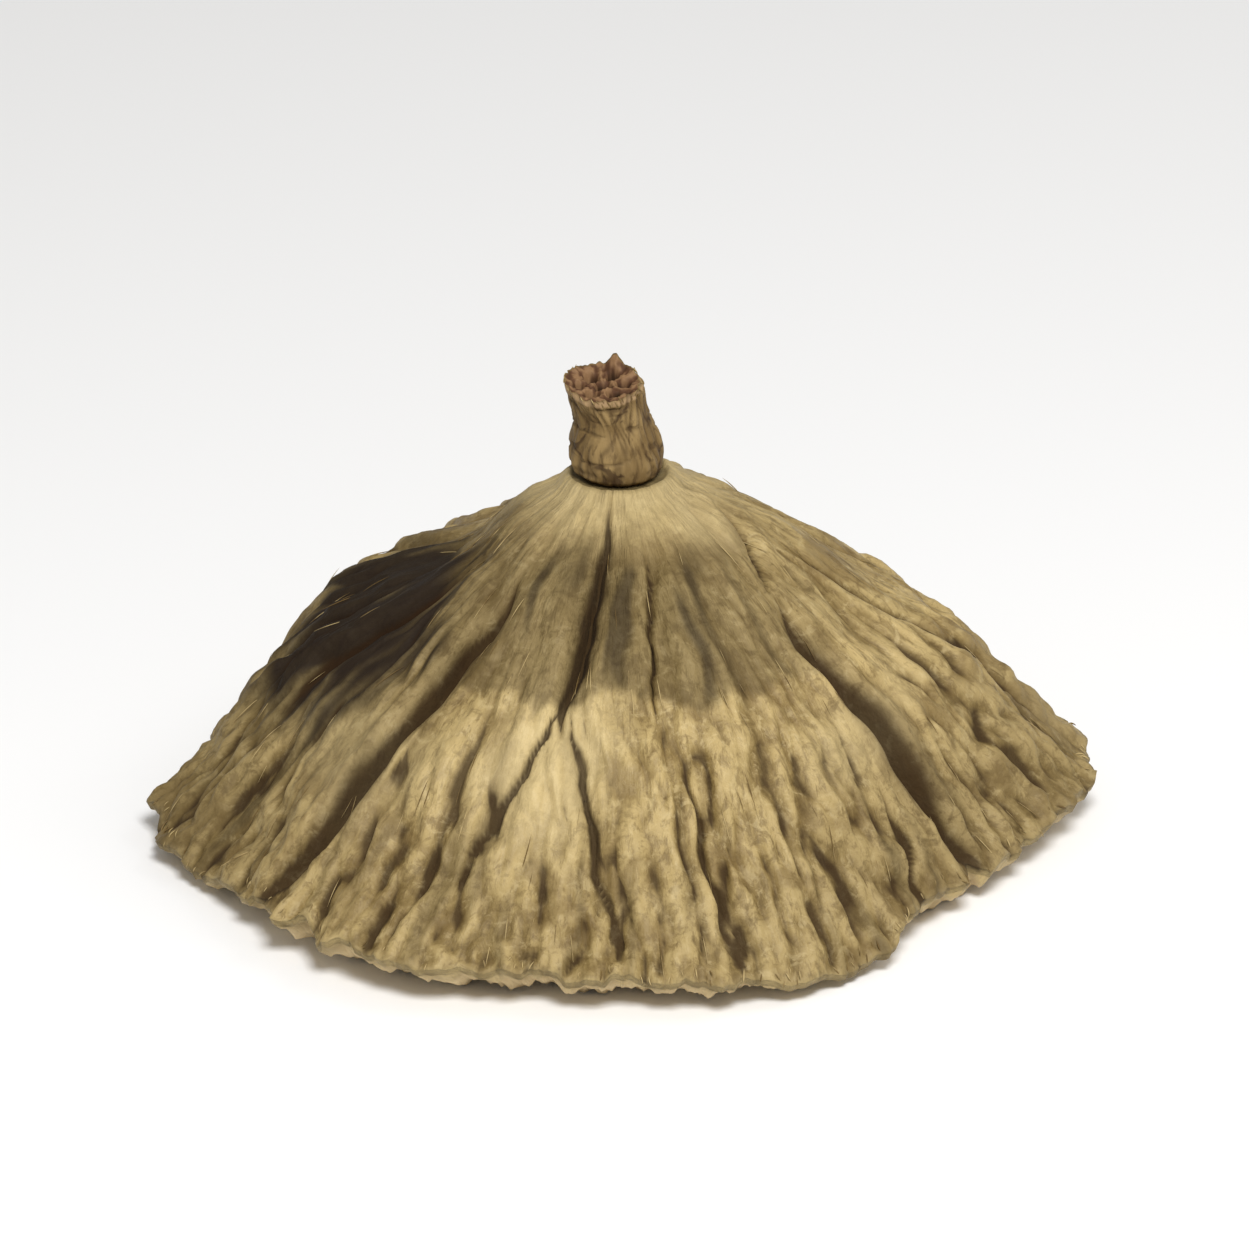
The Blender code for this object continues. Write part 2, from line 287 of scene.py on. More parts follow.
@dataclass(frozen=True)
class PodShape:
    """The sizes of the seed pod, as it is turned, stretched to its outline, folded and dented.

    Attributes:
        rim_radius: before the outline stretches it.
        neck_height: of the seat under the stem.
        rim_height: of the rim's widest line.
        rest_radius: of the flat part of the seed face.
        profile: share of the rim's radius, and share of the height above the rim.
        outline: azimuth in degrees, and how far the rim is pulled out there.
        folds: the deep folds.
        dents: azimuth, spread in degrees, share of the radius, width as a share, and depth.
    """

    rim_radius: float = 45 * MM
    neck_height: float = 35.5 * MM
    rim_height: float = 3.6 * MM
    rest_radius: float = 36.5 * MM
    profile: tuple = (
        (0.107, 1.00), (0.20, 0.930), (0.31, 0.830), (0.42, 0.715), (0.54, 0.590), (0.67, 0.455),
        (0.765, 0.320), (0.84, 0.200), (0.915, 0.095), (1.0, 0.0),
    )
    outline: tuple = (
        (-172, 1.000), (-150, 0.955), (-126, 1.000), (-115, 1.020), (-101, 0.950), (-88, 0.965),
        (-74, 0.985), (-59, 0.960), (-41, 0.875), (-18, 0.930), (2, 1.010), (16, 0.965), (44, 0.985),
        (68, 0.945), (92, 1.010), (118, 0.960), (146, 0.850), (168, 0.900),
    )
    folds: tuple = (
        Fold(-98, -101, 0.16, 0.57, 3.0 * MM, 1.0 * MM), Fold(-101, -113, 0.51, 0.82, 1.8 * MM, 0.6 * MM),
        Fold(-100, -90, 0.53, 0.90, 1.8 * MM, 0.65 * MM), Fold(-129, -142, 0.38, 1.02, 3.2 * MM, 1.4 * MM),
        Fold(-35, -32, 0.44, 0.92, 3.5 * MM, 2.1 * MM), Fold(-78, -74, 0.62, 0.97, 1.7 * MM, 0.7 * MM),
        Fold(-78, -82, 0.22, 0.56, 1.3 * MM, 0.45 * MM), Fold(-12, -34, 0.22, 0.38, 1.2 * MM),
        Fold(-41, -46, 0.70, 1.00, 1.5 * MM, 0.7 * MM), Fold(-160, -165, 0.30, 0.75, 1.8 * MM),
        Fold(-178, 176, 0.50, 0.95, 1.9 * MM), Fold(-4, 3, 0.40, 0.80, 1.7 * MM),
        Fold(24, 20, 0.25, 0.90, 2.2 * MM), Fold(47, 52, 0.50, 1.00, 1.7 * MM),
        Fold(75, 70, 0.20, 0.75, 2.4 * MM), Fold(96, 101, 0.45, 0.98, 1.6 * MM),
        Fold(122, 118, 0.22, 0.85, 2.5 * MM), Fold(148, 154, 0.40, 0.92, 1.8 * MM),
    )
    dents: tuple = (
        (150, 42, 0.34, 0.16, 2.2 * MM), (158, 30, 0.66, 0.14, -1.2 * MM), (20, 30, 0.80, 0.12, -0.9 * MM),
        (-60, 25, 0.45, 0.15, -0.6 * MM),
    )

    def stretch(self, azimuth: np.ndarray, spread: np.ndarray) -> np.ndarray:
        """How far the outline pulls the turned shape out, where it acts with this weight."""
        return 1 + (smooth_through(self.outline, azimuth, 360.0) - 1) * spread

    def swelling(self, azimuth: np.ndarray) -> np.ndarray:
        """The soft bulges between the folds, from -1 to 1."""
        a = np.radians(azimuth)
        return 0.45 * np.sin(7 * a + 0.6) + 0.35 * np.sin(11 * a + 2.1) + 0.2 * np.sin(19 * a + 4.0)

    def wave(self, azimuth: np.ndarray) -> np.ndarray:
        """How far the rim lifts at each azimuth."""
        lift = 1.1 * MM * np.sin(np.radians(3 * azimuth + 70)) + 0.6 * MM * self.swelling(azimuth + 40)
        return lift + 1.2 * MM * np.exp(-((angle_between(azimuth, -41) / 12) ** 2))

    def skin(
        self, azimuth: np.ndarray, share: np.ndarray, drift: np.ndarray | float = 0.0
    ) -> tuple[np.ndarray, np.ndarray]:
        """The skin before its wrinkles.

        Args:
            azimuth: in degrees.
            share: of the rim's radius, before the outline stretches it.
            drift: how far the folds stray to the side, in degrees.

        Returns:
            Points, one row for each place, and the depth of the folds there.
        """
        rise = self.neck_height - self.rim_height
        z = self.rim_height + rise * smooth_through(self.profile, share)
        radius = share * self.rim_radius * self.stretch(azimuth, share**2)
        fold, pucker, sag = np.zeros((3, *np.shape(radius)))
        for each in self.folds:
            depth, side = each.at(azimuth + drift, radius / self.rim_radius, radius)
            fold = np.maximum(fold, depth)
            pucker = np.maximum(pucker, side)
        for middle, spread, place, width, deepest in self.dents:
            around = angle_between(azimuth, middle) / spread
            sag += deepest * np.exp(-(around**2) - ((share - place) / width) ** 2)
        inward = fold - pucker + sag - 0.7 * MM * self.swelling(azimuth) * share
        radius = radius - inward * 0.6
        z = z - inward * 0.8 * np.minimum(1.0, (z - self.rim_height) / (4 * MM))
        z = z + self.wave(azimuth) * np.exp(-(z - self.rim_height) / (6 * MM))
        a = np.radians(azimuth)
        return np.stack((radius * np.cos(a), radius * np.sin(a), z), -1), fold


@dataclass(frozen=True)
class SeedHole:
    """One empty seed hole: an uneven oval mouth and near straight walls down to a round end.

    Attributes:
        x: of its mouth.
        y: of its mouth.
        mouth: radius.
        depth: along its axis.
        lean: of its axis, outwards below, in degrees.
        azimuth: of its mouth around the pod, in degrees.
        number: counted from the middle of the pod.
    """

    x: float
    y: float
    mouth: float
    depth: float
    lean: float
    azimuth: float
    number: int

    def oval(self, turn: np.ndarray) -> np.ndarray:
        """The mouth's outline as a share of its radius."""
        return 1 + 0.06 * np.cos(2 * (turn - 1.9 * self.number)) + 0.03 * np.cos(3 * turn + self.number)

    def ring(self, turn: np.ndarray, reach: np.ndarray | float, height: float = 0.0) -> np.ndarray:
        """Points around the hole's own axis.

        Args:
            turn: angle around the hole.
            reach: distance from its axis.
            height: above the seed face, along the axis.

        Returns:
            Points, one row for each turn.
        """
        lean, out = math.radians(self.lean), math.radians(self.azimuth)
        inward = height * math.sin(lean)
        x = self.x + reach * np.cos(turn) - inward * math.cos(out)
        y = self.y + reach * np.sin(turn) - inward * math.sin(out)
        return np.stack(np.broadcast_arrays(x, y, height * math.cos(lean)), -1)

    def beyond(self, x: float, y: float) -> float:
        """How far a place on the seed face lies outside the mouth; below 0 inside."""
        turn = math.atan2(y - self.y, x - self.x)
        return math.hypot(x - self.x, y - self.y) - self.mouth * float(self.oval(np.float64(turn)))


# Rings of seed holes: how many, ring radius, mouth radius, depth, lean and azimuth of the first in degrees.
SEED_RINGS = (
    (1, 0.0, 5.4 * MM, 17.0 * MM, 0.0, 0.0),
    (7, 14.6 * MM, 5.2 * MM, 15.0 * MM, 6.0, 14.0),
    (12, 28.8 * MM, 5.7 * MM, 11.0 * MM, 14.0, 2.0),
)


def seed_holes(shape: PodShape) -> list[SeedHole]:
    """Every seed hole of the pod, ring by ring from the middle."""
    holes: list[SeedHole] = []
    for count, ring, mouth, depth, lean, first in SEED_RINGS:
        for k in range(count):
            number = len(holes)
            azimuth = first + 360.0 * k / count + 1.6 * math.sin(2.3 * number)
            out = ring * (1 + 0.02 * math.sin(1.7 * number + 1.0))
            reach = out * float(shape.stretch(np.float64(azimuth), np.float64(0.35)))
            a = math.radians(azimuth)
            size = mouth * (1 + 0.05 * math.sin(3.1 * number + 0.5))
            x, y = reach * math.cos(a), reach * math.sin(a)
            holes.append(SeedHole(x, y, size, depth, lean, azimuth, number))
    return holes


# ------------------------------------------------------------------ meshes


class Surface:
    """Collects points, their painted values and faces, and becomes one mesh."""

    def __init__(self, *paints: str) -> None:
        """Start empty, with these painted values on every point."""
        self.paints = paints
        self.points: list[np.ndarray] = []
        self.values: dict[str, list[np.ndarray]] = {name: [] for name in paints}
        self.faces: list[tuple[int, ...]] = []
        self.count = 0

    def add(self, points: np.ndarray, **painted: np.ndarray | float) -> np.ndarray:
        """Add points.

        Args:
            points: one row for each.
            painted: the value of each paint there; what isn't named is 0.

        Returns:
            Their numbers.
        """
        points = np.reshape(points, (-1, 3))
        first, self.count = self.count, self.count + len(points)
        self.points.append(points)
        for name in self.paints:
            value = np.asarray(painted.get(name, 0.0), float).reshape(-1)
            self.values[name].append(np.broadcast_to(value, len(points)))
        return np.arange(first, self.count)

    def bridge(self, upper: np.ndarray, lower: np.ndarray) -> None:
        """Join two rings that run the same way; the lower one may have twice the points."""
        beside = np.roll(upper, -1)
        if len(lower) == len(upper):
            self.faces += zip(upper, lower, np.roll(lower, -1), beside)
            return
        for here, there, a, b, c in zip(upper, beside, lower[::2], lower[1::2], np.roll(lower, -2)[::2]):
            self.faces += [(here, a, b), (here, b, there), (there, b, c)]

    def narrow(self, wide: np.ndarray, half: np.ndarray) -> None:
        """Join a ring to the next one, which has half its points."""
        beside = np.roll(half, -1)
        for here, there, a, b, c in zip(half, beside, wide[::2], wide[1::2], np.roll(wide, -2)[::2]):
            self.faces += [(a, here, b), (b, here, there), (b, there, c)]

    def fan(self, ring: np.ndarray, tip: int, outward: bool = True) -> None:
        """Close a ring onto one point."""
        for a, b in zip(ring, np.roll(ring, -1)):
            self.faces.append((tip, a, b) if outward else (tip, b, a))

    def mesh(self, name: str, shift: Vector) -> bpy.types.Mesh:
        """The mesh of everything added, moved by shift, with its paints as attributes."""
        made = bpy.data.meshes.new(name)
        points = np.concatenate(self.points) + np.array(shift)
        made.from_pydata(points.tolist(), [], [tuple(int(i) for i in face) for face in self.faces])
        for paint in self.paints:
            attribute = made.attributes.new(paint, "FLOAT", "POINT")
            attribute.data.foreach_set("value", np.concatenate(self.values[paint]).astype(np.float32))
        made.shade_smooth()
        made.update()
        return made


def push_out(grid: np.ndarray, distance: np.ndarray) -> np.ndarray:
    """Move a grid's points along its own normals.

    Args:
        grid: points by row and column, closed along the columns, rows running down the outside.
        distance: how far out each point goes.

    Returns:
        The moved points.
    """
    around = np.roll(grid, -1, 1) - np.roll(grid, 1, 1)
    down = np.gradient(grid, axis=0)
    normal = np.cross(down, around)
    normal /= np.maximum(np.linalg.norm(normal, axis=-1, keepdims=True), 1e-12)
    return grid + normal * distance[..., None]


def new_object(name: str, mesh: bpy.types.Mesh) -> bpy.types.Object:
    """An object of this mesh, at the origin."""
    made = bpy.data.objects.new(name, mesh)
    bpy.context.scene.collection.objects.link(made)
    return made


@dataclass
class SeedPod:
    """The seed pod: pleated skin, ragged rim, seed face and seed holes, as one closed surface.

    Attributes:
        shape: its sizes.
        shift: moves its axis to its place.
        columns: points around the skin.
        upper_share: share of the radius below which every second column is left out.
        skin_rows: rings of points down the skin.
        margin_rows: rings of points across the margin.
        mouth_points: points around each seed hole.
        face_level: of the seed face above the surface that the pod rests on.
        face_spacing: from point to point on the seed face.
        lip: width of the lip around each hole.
    """

    shape: PodShape
    shift: Vector
    columns: int = 840
    upper_share: float = 0.42
    skin_rows: int = 93
    margin_rows: int = 12
    mouth_points: int = 44
    face_level: float = 0.36 * MM
    face_spacing: float = 1.05 * MM
    lip: float = 0.5 * MM

    def __post_init__(self) -> None:
        """Lay out the seed holes and start an empty surface."""
        self.holes = seed_holes(self.shape)
        self.surface = Surface("hollow", "weather", "pale", "inner", "down", "tone")
        self.crumple = Grain(71)
        self.slow = Grain(72)

    def wrinkled(self, shares: np.ndarray, down: np.ndarray) -> tuple[np.ndarray, dict]:
        """The skin with its wrinkles.

        Args:
            shares: of the rim's radius, row by row.
            down: distance down the skin, row by row.

        Returns:
            Points by row and column, and their paints.
        """
        azimuth, share = np.meshgrid(np.linspace(-180.0, 180.0, self.columns, endpoint=False), shares)
        along = np.broadcast_to(down[:, None], share.shape)
        a = np.radians(azimuth)
        radius = share * self.shape.rim_radius
        drift = steady_grain(a, radius, along, 9 * MM, 14 * MM, 11) * 1.4 * MM
        drift += steady_grain(a, radius, along, 3 * MM, 5 * MM, 31) * 0.4 * MM
        drift /= np.maximum(radius, 5 * MM)
        base, fold = self.shape.skin(azimuth, share, np.degrees(drift) * 0.5)
        radius = np.hypot(base[..., 0], base[..., 1])
        here = (a + drift, radius, along)
        busy = step(-0.35, 0.45, steady_grain(*here, 11 * MM, 13 * MM, 501))
        neck = step(0.10, 0.22, share)
        out = PLEAT.at(*here) * neck
        out += CREASE.at(*here) * (0.45 + 0.6 * busy) * neck
        out += LINE.at(*here) * (0.5 + 0.5 * busy) * step(0.10, 0.16, share)
        out += 0.12 * MM * steady_grain(*here, 0.8 * MM, 7 * MM, 401)
        out += CREST.at(*here) * neck * step(0.2, 0.5, share)
        out += FLAKE.at(*here) * step(0.42, 0.72, share)
        x, y = base[..., 0], base[..., 1]
        buckle = self.crumple.at(x / (3.2 * MM), y / (3.2 * MM))
        buckle += 0.7 * self.crumple.at(x / (1.4 * MM) + 9, y / (1.4 * MM))
        out += 0.44 * MM * buckle * (0.2 + 0.8 * step(0.50, 0.85, share))
        out *= (1 - 0.35 * step(0.97, 1.0, share)) * (1 - 0.8 * step(0.1 * MM, 1.0 * MM, fold))
        points = push_out(base, out)
        edge = step(0.93, 1.0, share)
        nibble = steady_grain(a + drift, radius, 0.0, 5.0 * MM, 9 * MM, 901)
        nibble += 0.6 * steady_grain(a + drift, radius, 0.0, 1.6 * MM, 9 * MM, 951)
        points[..., :2] *= (1 + 0.022 * edge * (nibble - 0.5))[..., None]
        points[..., 2] += 0.9 * MM * edge * np.roll(nibble, 7, 1)
        relief = out - fold * 0.9
        ridge = (relief - softened(relief, self.columns // 80, 2)) / (0.36 * MM)
        broad = (relief - softened(relief, self.columns // 22, 9)) / (0.9 * MM)
        # Painted shade: darker in the folds and in the creases between the wrinkles.
        hollow = 0.32 * step(0.1 * MM, 0.8 * MM, fold) + 0.65 * step(0.5 * MM, 2.4 * MM, fold)
        hollow += 0.8 * step(0.25, 1.4, -ridge) + 0.35 * step(0.3, 1.5, -broad)
        paints = {
            "hollow": np.clip(hollow, 0.0, 1.0),
            "weather": self.weather(azimuth, share, here),
            "pale": self.paleness(azimuth, share, along),
            "down": along / MM,
            # tone: painted highlight on the crests of the relief and painted shade in its creases.
            "tone": np.clip(0.5 + 0.4 * ridge + 0.25 * broad, 0.0, 1.0),
        }
        return points, paints

    def weather(self, azimuth: np.ndarray, share: np.ndarray, here: tuple[np.ndarray, ...]) -> np.ndarray:
        """Where the skin is darker: grey streaks, a darker band towards the rim and a greyer upper zone, with
        painted shade on the sides turned away from the front, deeper on the left, and a painted shadow on the
        left shoulder.

        Args:
            azimuth: in degrees.
            share: of the pod's radius.
            here: azimuth in radians with the drift of the wrinkles, radius, and distance down the skin.

        Returns:
            0 for clean skin, about 0.5 for grey skin, 1 for the painted shadow on the left shoulder.
        """
        edge = steady_grain(*here, 5 * MM, 9 * MM, 601)
        fine = steady_grain(*here, 1.6 * MM, 9 * MM, 651)
        upper = step(0.55, 0.52, share + 0.03 * edge + 0.012 * fine) * step(0.16, 0.30, share + 0.03 * edge)
        facing = step(100.0, 45.0, np.abs(angle_between(azimuth, -112)))
        upper = upper * (0.19 + 0.33 * facing)
        # Painted shadow: a dark patch on the left shoulder.
        shoulder = np.exp(-((angle_between(azimuth, 184) / 42) ** 2) - ((share - 0.54) / 0.27) ** 2)
        shoulder = np.clip(1.5 * shoulder + (0.35 * edge + 0.4 * fine) * np.sqrt(shoulder) - 0.12, 0.0, 1.0)
        streak = step(0.2, 0.75, steady_grain(*here, 2.2 * MM, 26 * MM, 701))
        band = 0.24 * step(0.55, 0.90, share + 0.06 * edge + 0.05 * fine)
        band *= 1 - self.pale_patch(azimuth, share)
        # Painted shade: the sides turned away from the front are darker, the left more than the right.
        turned = angle_between(azimuth, -104)
        away = np.abs(turned)
        aside = step(25.0, 65.0, away) * step(135.0, 95.0, away) * np.where(turned < 0, 0.24, 0.14)
        band += aside * step(0.50, 0.80, share + 0.05 * edge + 0.03 * fine)
        return np.clip(np.maximum(upper + streak * 0.28 + band, shoulder), 0.0, 1.0)

    def paleness(self, azimuth: np.ndarray, share: np.ndarray, along: np.ndarray) -> np.ndarray:
        """Where the skin is paler, 0 to 1: under the stem, on the rim's edge and in some patches; the patch
        between the middle folds is partly paler skin and partly a painted highlight.
        """
        neck = 0.8 * step(0.30, 0.13, share)
        rim = 0.45 * step(0.985, 1.0, share)
        warm = self.slow.at(azimuth / 360.0 * 9 + 20, along / (13 * MM))
        # Partly a painted highlight: this patch faces the front between the middle folds.
        patch = 1.2 * self.pale_patch(azimuth, share)
        return np.clip(np.maximum(np.maximum(neck, rim), patch) + 0.5 * step(0.1, 0.8, warm), 0.0, 1.0)

    @staticmethod
    def pale_patch(azimuth: np.ndarray, share: np.ndarray) -> np.ndarray:
        """The pale patch between the two middle folds, facing the front, 0 to 1: partly paler skin, partly a
        painted highlight.
        """
        return np.exp(-((angle_between(azimuth, -103) / 10) ** 2) - ((share - 0.66) / 0.13) ** 2)

    def face_height(self, x: np.ndarray, y: np.ndarray) -> np.ndarray:
        """The height of the seed face between its lips: nowhere below the surface the pod rests on."""
        lumps = self.crumple.at(x / (2.4 * MM) + 31, y / (2.4 * MM) + 17)
        fine = self.crumple.at(x / (0.9 * MM) + 5, y / (0.9 * MM) + 3)
        return self.face_level + 0.13 * MM * lumps + 0.06 * MM * fine

    def add_skin(self) -> np.ndarray:
        """Add the neck's seat and the skin down to the rim, and return the rim's ring."""
        shares = np.linspace(self.shape.profile[0][0], 1.0, 400)
        rise = self.shape.neck_height - self.shape.rim_height
        heights = smooth_through(self.shape.profile, shares) * rise
        slope = np.hypot(np.diff(shares * self.shape.rim_radius), np.diff(heights))
        down = np.concatenate(((0.0,), np.cumsum(slope)))
        rows = np.linspace(0.0, down[-1], self.skin_rows)
        spaced = np.interp(rows, down, shares)
        upper = spaced < self.upper_share
        fine, paints = self.wrinkled(spaced, rows)
        fine[..., 2] += 0.45 * MM * step(0.14, 0.112, spaced)[:, None]
        rings = []
        for k, above in enumerate(upper):
            every = 2 if above else 1
            pick = {name: value[k, ::every] for name, value in paints.items()}
            rings.append(self.surface.add(fine[k, ::every], **pick))
        for one, other in zip(rings[:-1], rings[1:]):
            self.surface.bridge(one, other)
        seat_middle = np.array((0.0, 0.0, self.shape.neck_height))
        collar = fine[0, ::2] * np.array((0.93, 0.93, 0.0)) + seat_middle
        # Painted shade: the collar round the stem's foot is darkened like a contact shadow.
        collar_ring = self.surface.add(collar, pale=0.3, hollow=0.35)
        self.surface.bridge(collar_ring, rings[0])
        seat = self.surface.add(seat_middle, pale=0.5)
        self.surface.fan(collar_ring, int(seat[0]))
        self.grid = fine
        return rings[-1]

    def add_margin(self, rim: np.ndarray) -> np.ndarray:
        """Add the rim's rolled edge and the seed face's margin, and return the margin's inner ring."""
        azimuth = np.linspace(-180.0, 180.0, self.columns, endpoint=False)
        a = np.radians(azimuth)
        share = self.shape.rest_radius / self.shape.rim_radius
        inner = self.shape.rest_radius * self.shape.stretch(azimuth, np.float64(share))
        for hole in self.holes:
            off = a - math.atan2(hole.y, hole.x)
            out, clear = math.hypot(hole.x, hole.y), 1.09 * hole.mouth + self.lip + 0.7 * MM
            beside = clear**2 - (out * np.sin(off)) ** 2
            past = out * np.cos(off) + np.sqrt(np.maximum(beside, 0))
            inner = np.maximum(inner, np.where((beside > 0) & (np.cos(off) > 0), past, 0))
        inner = np.maximum(inner, softened(inner[None], 9, 0)[0])
        x, y = inner * np.cos(a), inner * np.sin(a)
        end = np.stack((x, y, self.face_height(x, y)), -1)
        start = self.grid[-1] + np.array((0.0, 0.0, -0.75 * MM))
        start[:, :2] *= 0.992
        before = rim
        for k in range(self.margin_rows + 1):
            t = k / self.margin_rows
            ring = start * (1 - t) + end * t
            ring[:, 2] = start[:, 2] * (1 - t) ** 1.6 + end[:, 2] * (1 - (1 - t) ** 1.6)
            x, y = ring[:, 0], ring[:, 1]
            rough = 1.3 * self.crumple.at(x / (2.3 * MM) + 3, y / (2.3 * MM) + 8)
            rough += 0.6 * self.crumple.at(x / (0.9 * MM) + 3, y / (0.9 * MM) + 8)
            furrow = steady_grain(a, 41 * MM, k * 0.8 * MM, 1.5 * MM, 4 * MM, 801)
            swell = 0.7 * MM * rough - 0.8 * MM * (np.abs(furrow) ** 0.7 - 0.4)
            ring[:, 2] = np.maximum(ring[:, 2] + math.sin(math.pi * t) ** 0.6 * swell, 0.05 * MM)
            # Painted shade in the margin's furrows.
            hollow = 0.55 * np.exp(-((furrow / 0.2) ** 2)) * math.sin(math.pi * t)
            tone = np.clip(0.55 - 0.35 * rough, 0.0, 1.0)
            bare = min(1.0, 0.1 + t * 2.4)
            added = self.surface.add(ring, inner=bare, hollow=hollow, pale=0.2 * (1 - t) + 0.2, tone=tone)
            self.surface.bridge(before, added)
            before = added
        inner_ring = self.surface.add(end[::2] * np.array((0.985, 0.985, 1.0)), inner=1.0, tone=0.5)
        self.surface.narrow(before, inner_ring)
        return inner_ring

    def loose_places(self, room: Callable[[float, float], float]) -> list[Vector]:
        """Evenly spread places on the seed face, clear of its holes and its margin.

        Args:
            room: how far a place lies inside the margin.

        Returns:
            The places.
        """
        places = []
        for j in range(-50, 51):
            for i in range(-50, 51):
                x, y = (i + 0.5 * (j % 2)) * self.face_spacing, j * self.face_spacing * 0.866
                if room(x, y) < 0.7 * MM:
                    continue
                if min(hole.beyond(x, y) for hole in self.holes) > self.lip + 0.35 * MM:
                    places.append(Vector((x, y)))
        return places

    def add_face(self, edge: np.ndarray) -> None:
        """Add the seed face inside the margin, with a lip around each seed hole, and the holes."""
        turn = np.linspace(0.0, TURN, self.mouth_points, endpoint=False)
        margin = np.concatenate(self.surface.points)[edge]
        bearing = np.arctan2(margin[:, 1], margin[:, 0])
        order = np.argsort(bearing)
        reach = np.hypot(margin[:, 0], margin[:, 1])

        def room(x: float, y: float) -> float:
            """How far a place lies inside the margin."""
            limit = np.interp(math.atan2(y, x), bearing[order], reach[order], period=TURN)
            return limit - math.hypot(x, y)

        places = self.loose_places(room)
        feet = [hole.ring(turn, hole.mouth * hole.oval(turn) + self.lip) for hole in self.holes]
        corners, edges = list(places), []
        for loop in (margin, *feet):
            first = len(corners)
            corners += [Vector(point[:2]) for point in loop]
            edges += [(first + k, first + (k + 1) % len(loop)) for k in range(len(loop))]
        flat, _, triangles, origins, _, _ = delaunay_2d_cdt(corners, edges, [], 0, 1e-7)
        rings = []
        for foot in feet:
            foot[:, 2] = self.face_height(foot[:, 0], foot[:, 1])
            # Painted shade at the foot of each lip.
            rings.append(self.surface.add(foot, inner=1.0, tone=0.45, hollow=0.25))
        x, y = np.array(places).T
        tone = np.clip(0.5 + 0.4 * self.slow.at(x / (4 * MM), y / (4 * MM)), 0, 1)
        loose = self.surface.add(np.stack((x, y, self.face_height(x, y)), -1), inner=1.0, tone=tone)
        numbers = np.concatenate((loose, edge, *rings))
        for a, b, c in triangles:
            middle = (flat[a] + flat[b] + flat[c]) / 3
            inside = min(hole.beyond(*middle) for hole in self.holes) < self.lip * 0.9
            if inside or room(*middle) < -0.05 * MM:
                continue
            side = (flat[b] - flat[a]).cross(flat[c] - flat[a])
            face = (a, c, b) if side > 0 else (a, b, c)
            self.surface.faces.append(tuple(numbers[origins[k][0]] for k in face))
        for hole, ring in zip(self.holes, rings):
            self.add_hole(hole, ring, turn)

    def add_hole(self, hole: SeedHole, foot: np.ndarray, turn: np.ndarray) -> None:
        """Add a hole's lip, walls and round end, joined to the ring at its lip's foot."""
        oval = hole.mouth * hole.oval(turn)
        ragged = 0.12 * MM * Grain(90 + hole.number).at(turn / TURN * 16, hole.number)
        before = foot
        for share, height, tone in ((0.62, 0.12, 0.75), (0.25, 0.03, 0.95), (0.0, 0.16, 0.8)):
            ring = hole.ring(turn, oval + self.lip * share + ragged)
            ring[:, 2] = height * MM + 0.5 * np.abs(ragged)
            added = self.surface.add(ring, inner=1.0, pale=tone, tone=0.6)
            self.surface.bridge(before, added)
            before = added
        for angle in (4, 10, 17, 25, 34, 44, 54, 64, 73, 81):
            lat = math.radians(angle)
            height = math.sin(lat) * hole.depth
            full = math.cos(lat) ** 0.62
            wall = Grain(120 + hole.number).at(turn / TURN * 18, height / (5 * MM))
            wide = Grain(150 + hole.number).at(turn / TURN * 5, height / (6 * MM))
            uneven = (0.16 * MM * np.abs(wall) + 0.25 * MM * wide) * math.sin(2 * lat)
            # Painted shade: the walls darken towards the round end; they are paler just under the mouth.
            paints = {
                "inner": 2.0,
                "hollow": min(1.0, height / (7 * MM)),
                "tone": np.clip(0.5 + 0.5 * wide + 0.3 * wall, 0, 1),
                "pale": max(0.0, 0.5 - angle / 30),
                "down": height / MM,
            }
            added = self.surface.add(hole.ring(turn, (oval + ragged) * full + uneven, height), **paints)
            self.surface.bridge(before, added)
            before = added
        # The round end takes full painted shade.
        tip = self.surface.add(hole.ring(np.zeros(1), 0.0, hole.depth), inner=2.0, hollow=1.0)
        self.surface.fan(before, int(tip[0]), outward=False)

    def build(self) -> bpy.types.Object:
        """The finished pod."""
        rim = self.add_skin()
        edge = self.add_margin(rim)
        self.add_face(edge)
        return new_object("pod", self.surface.mesh("pod", self.shift))


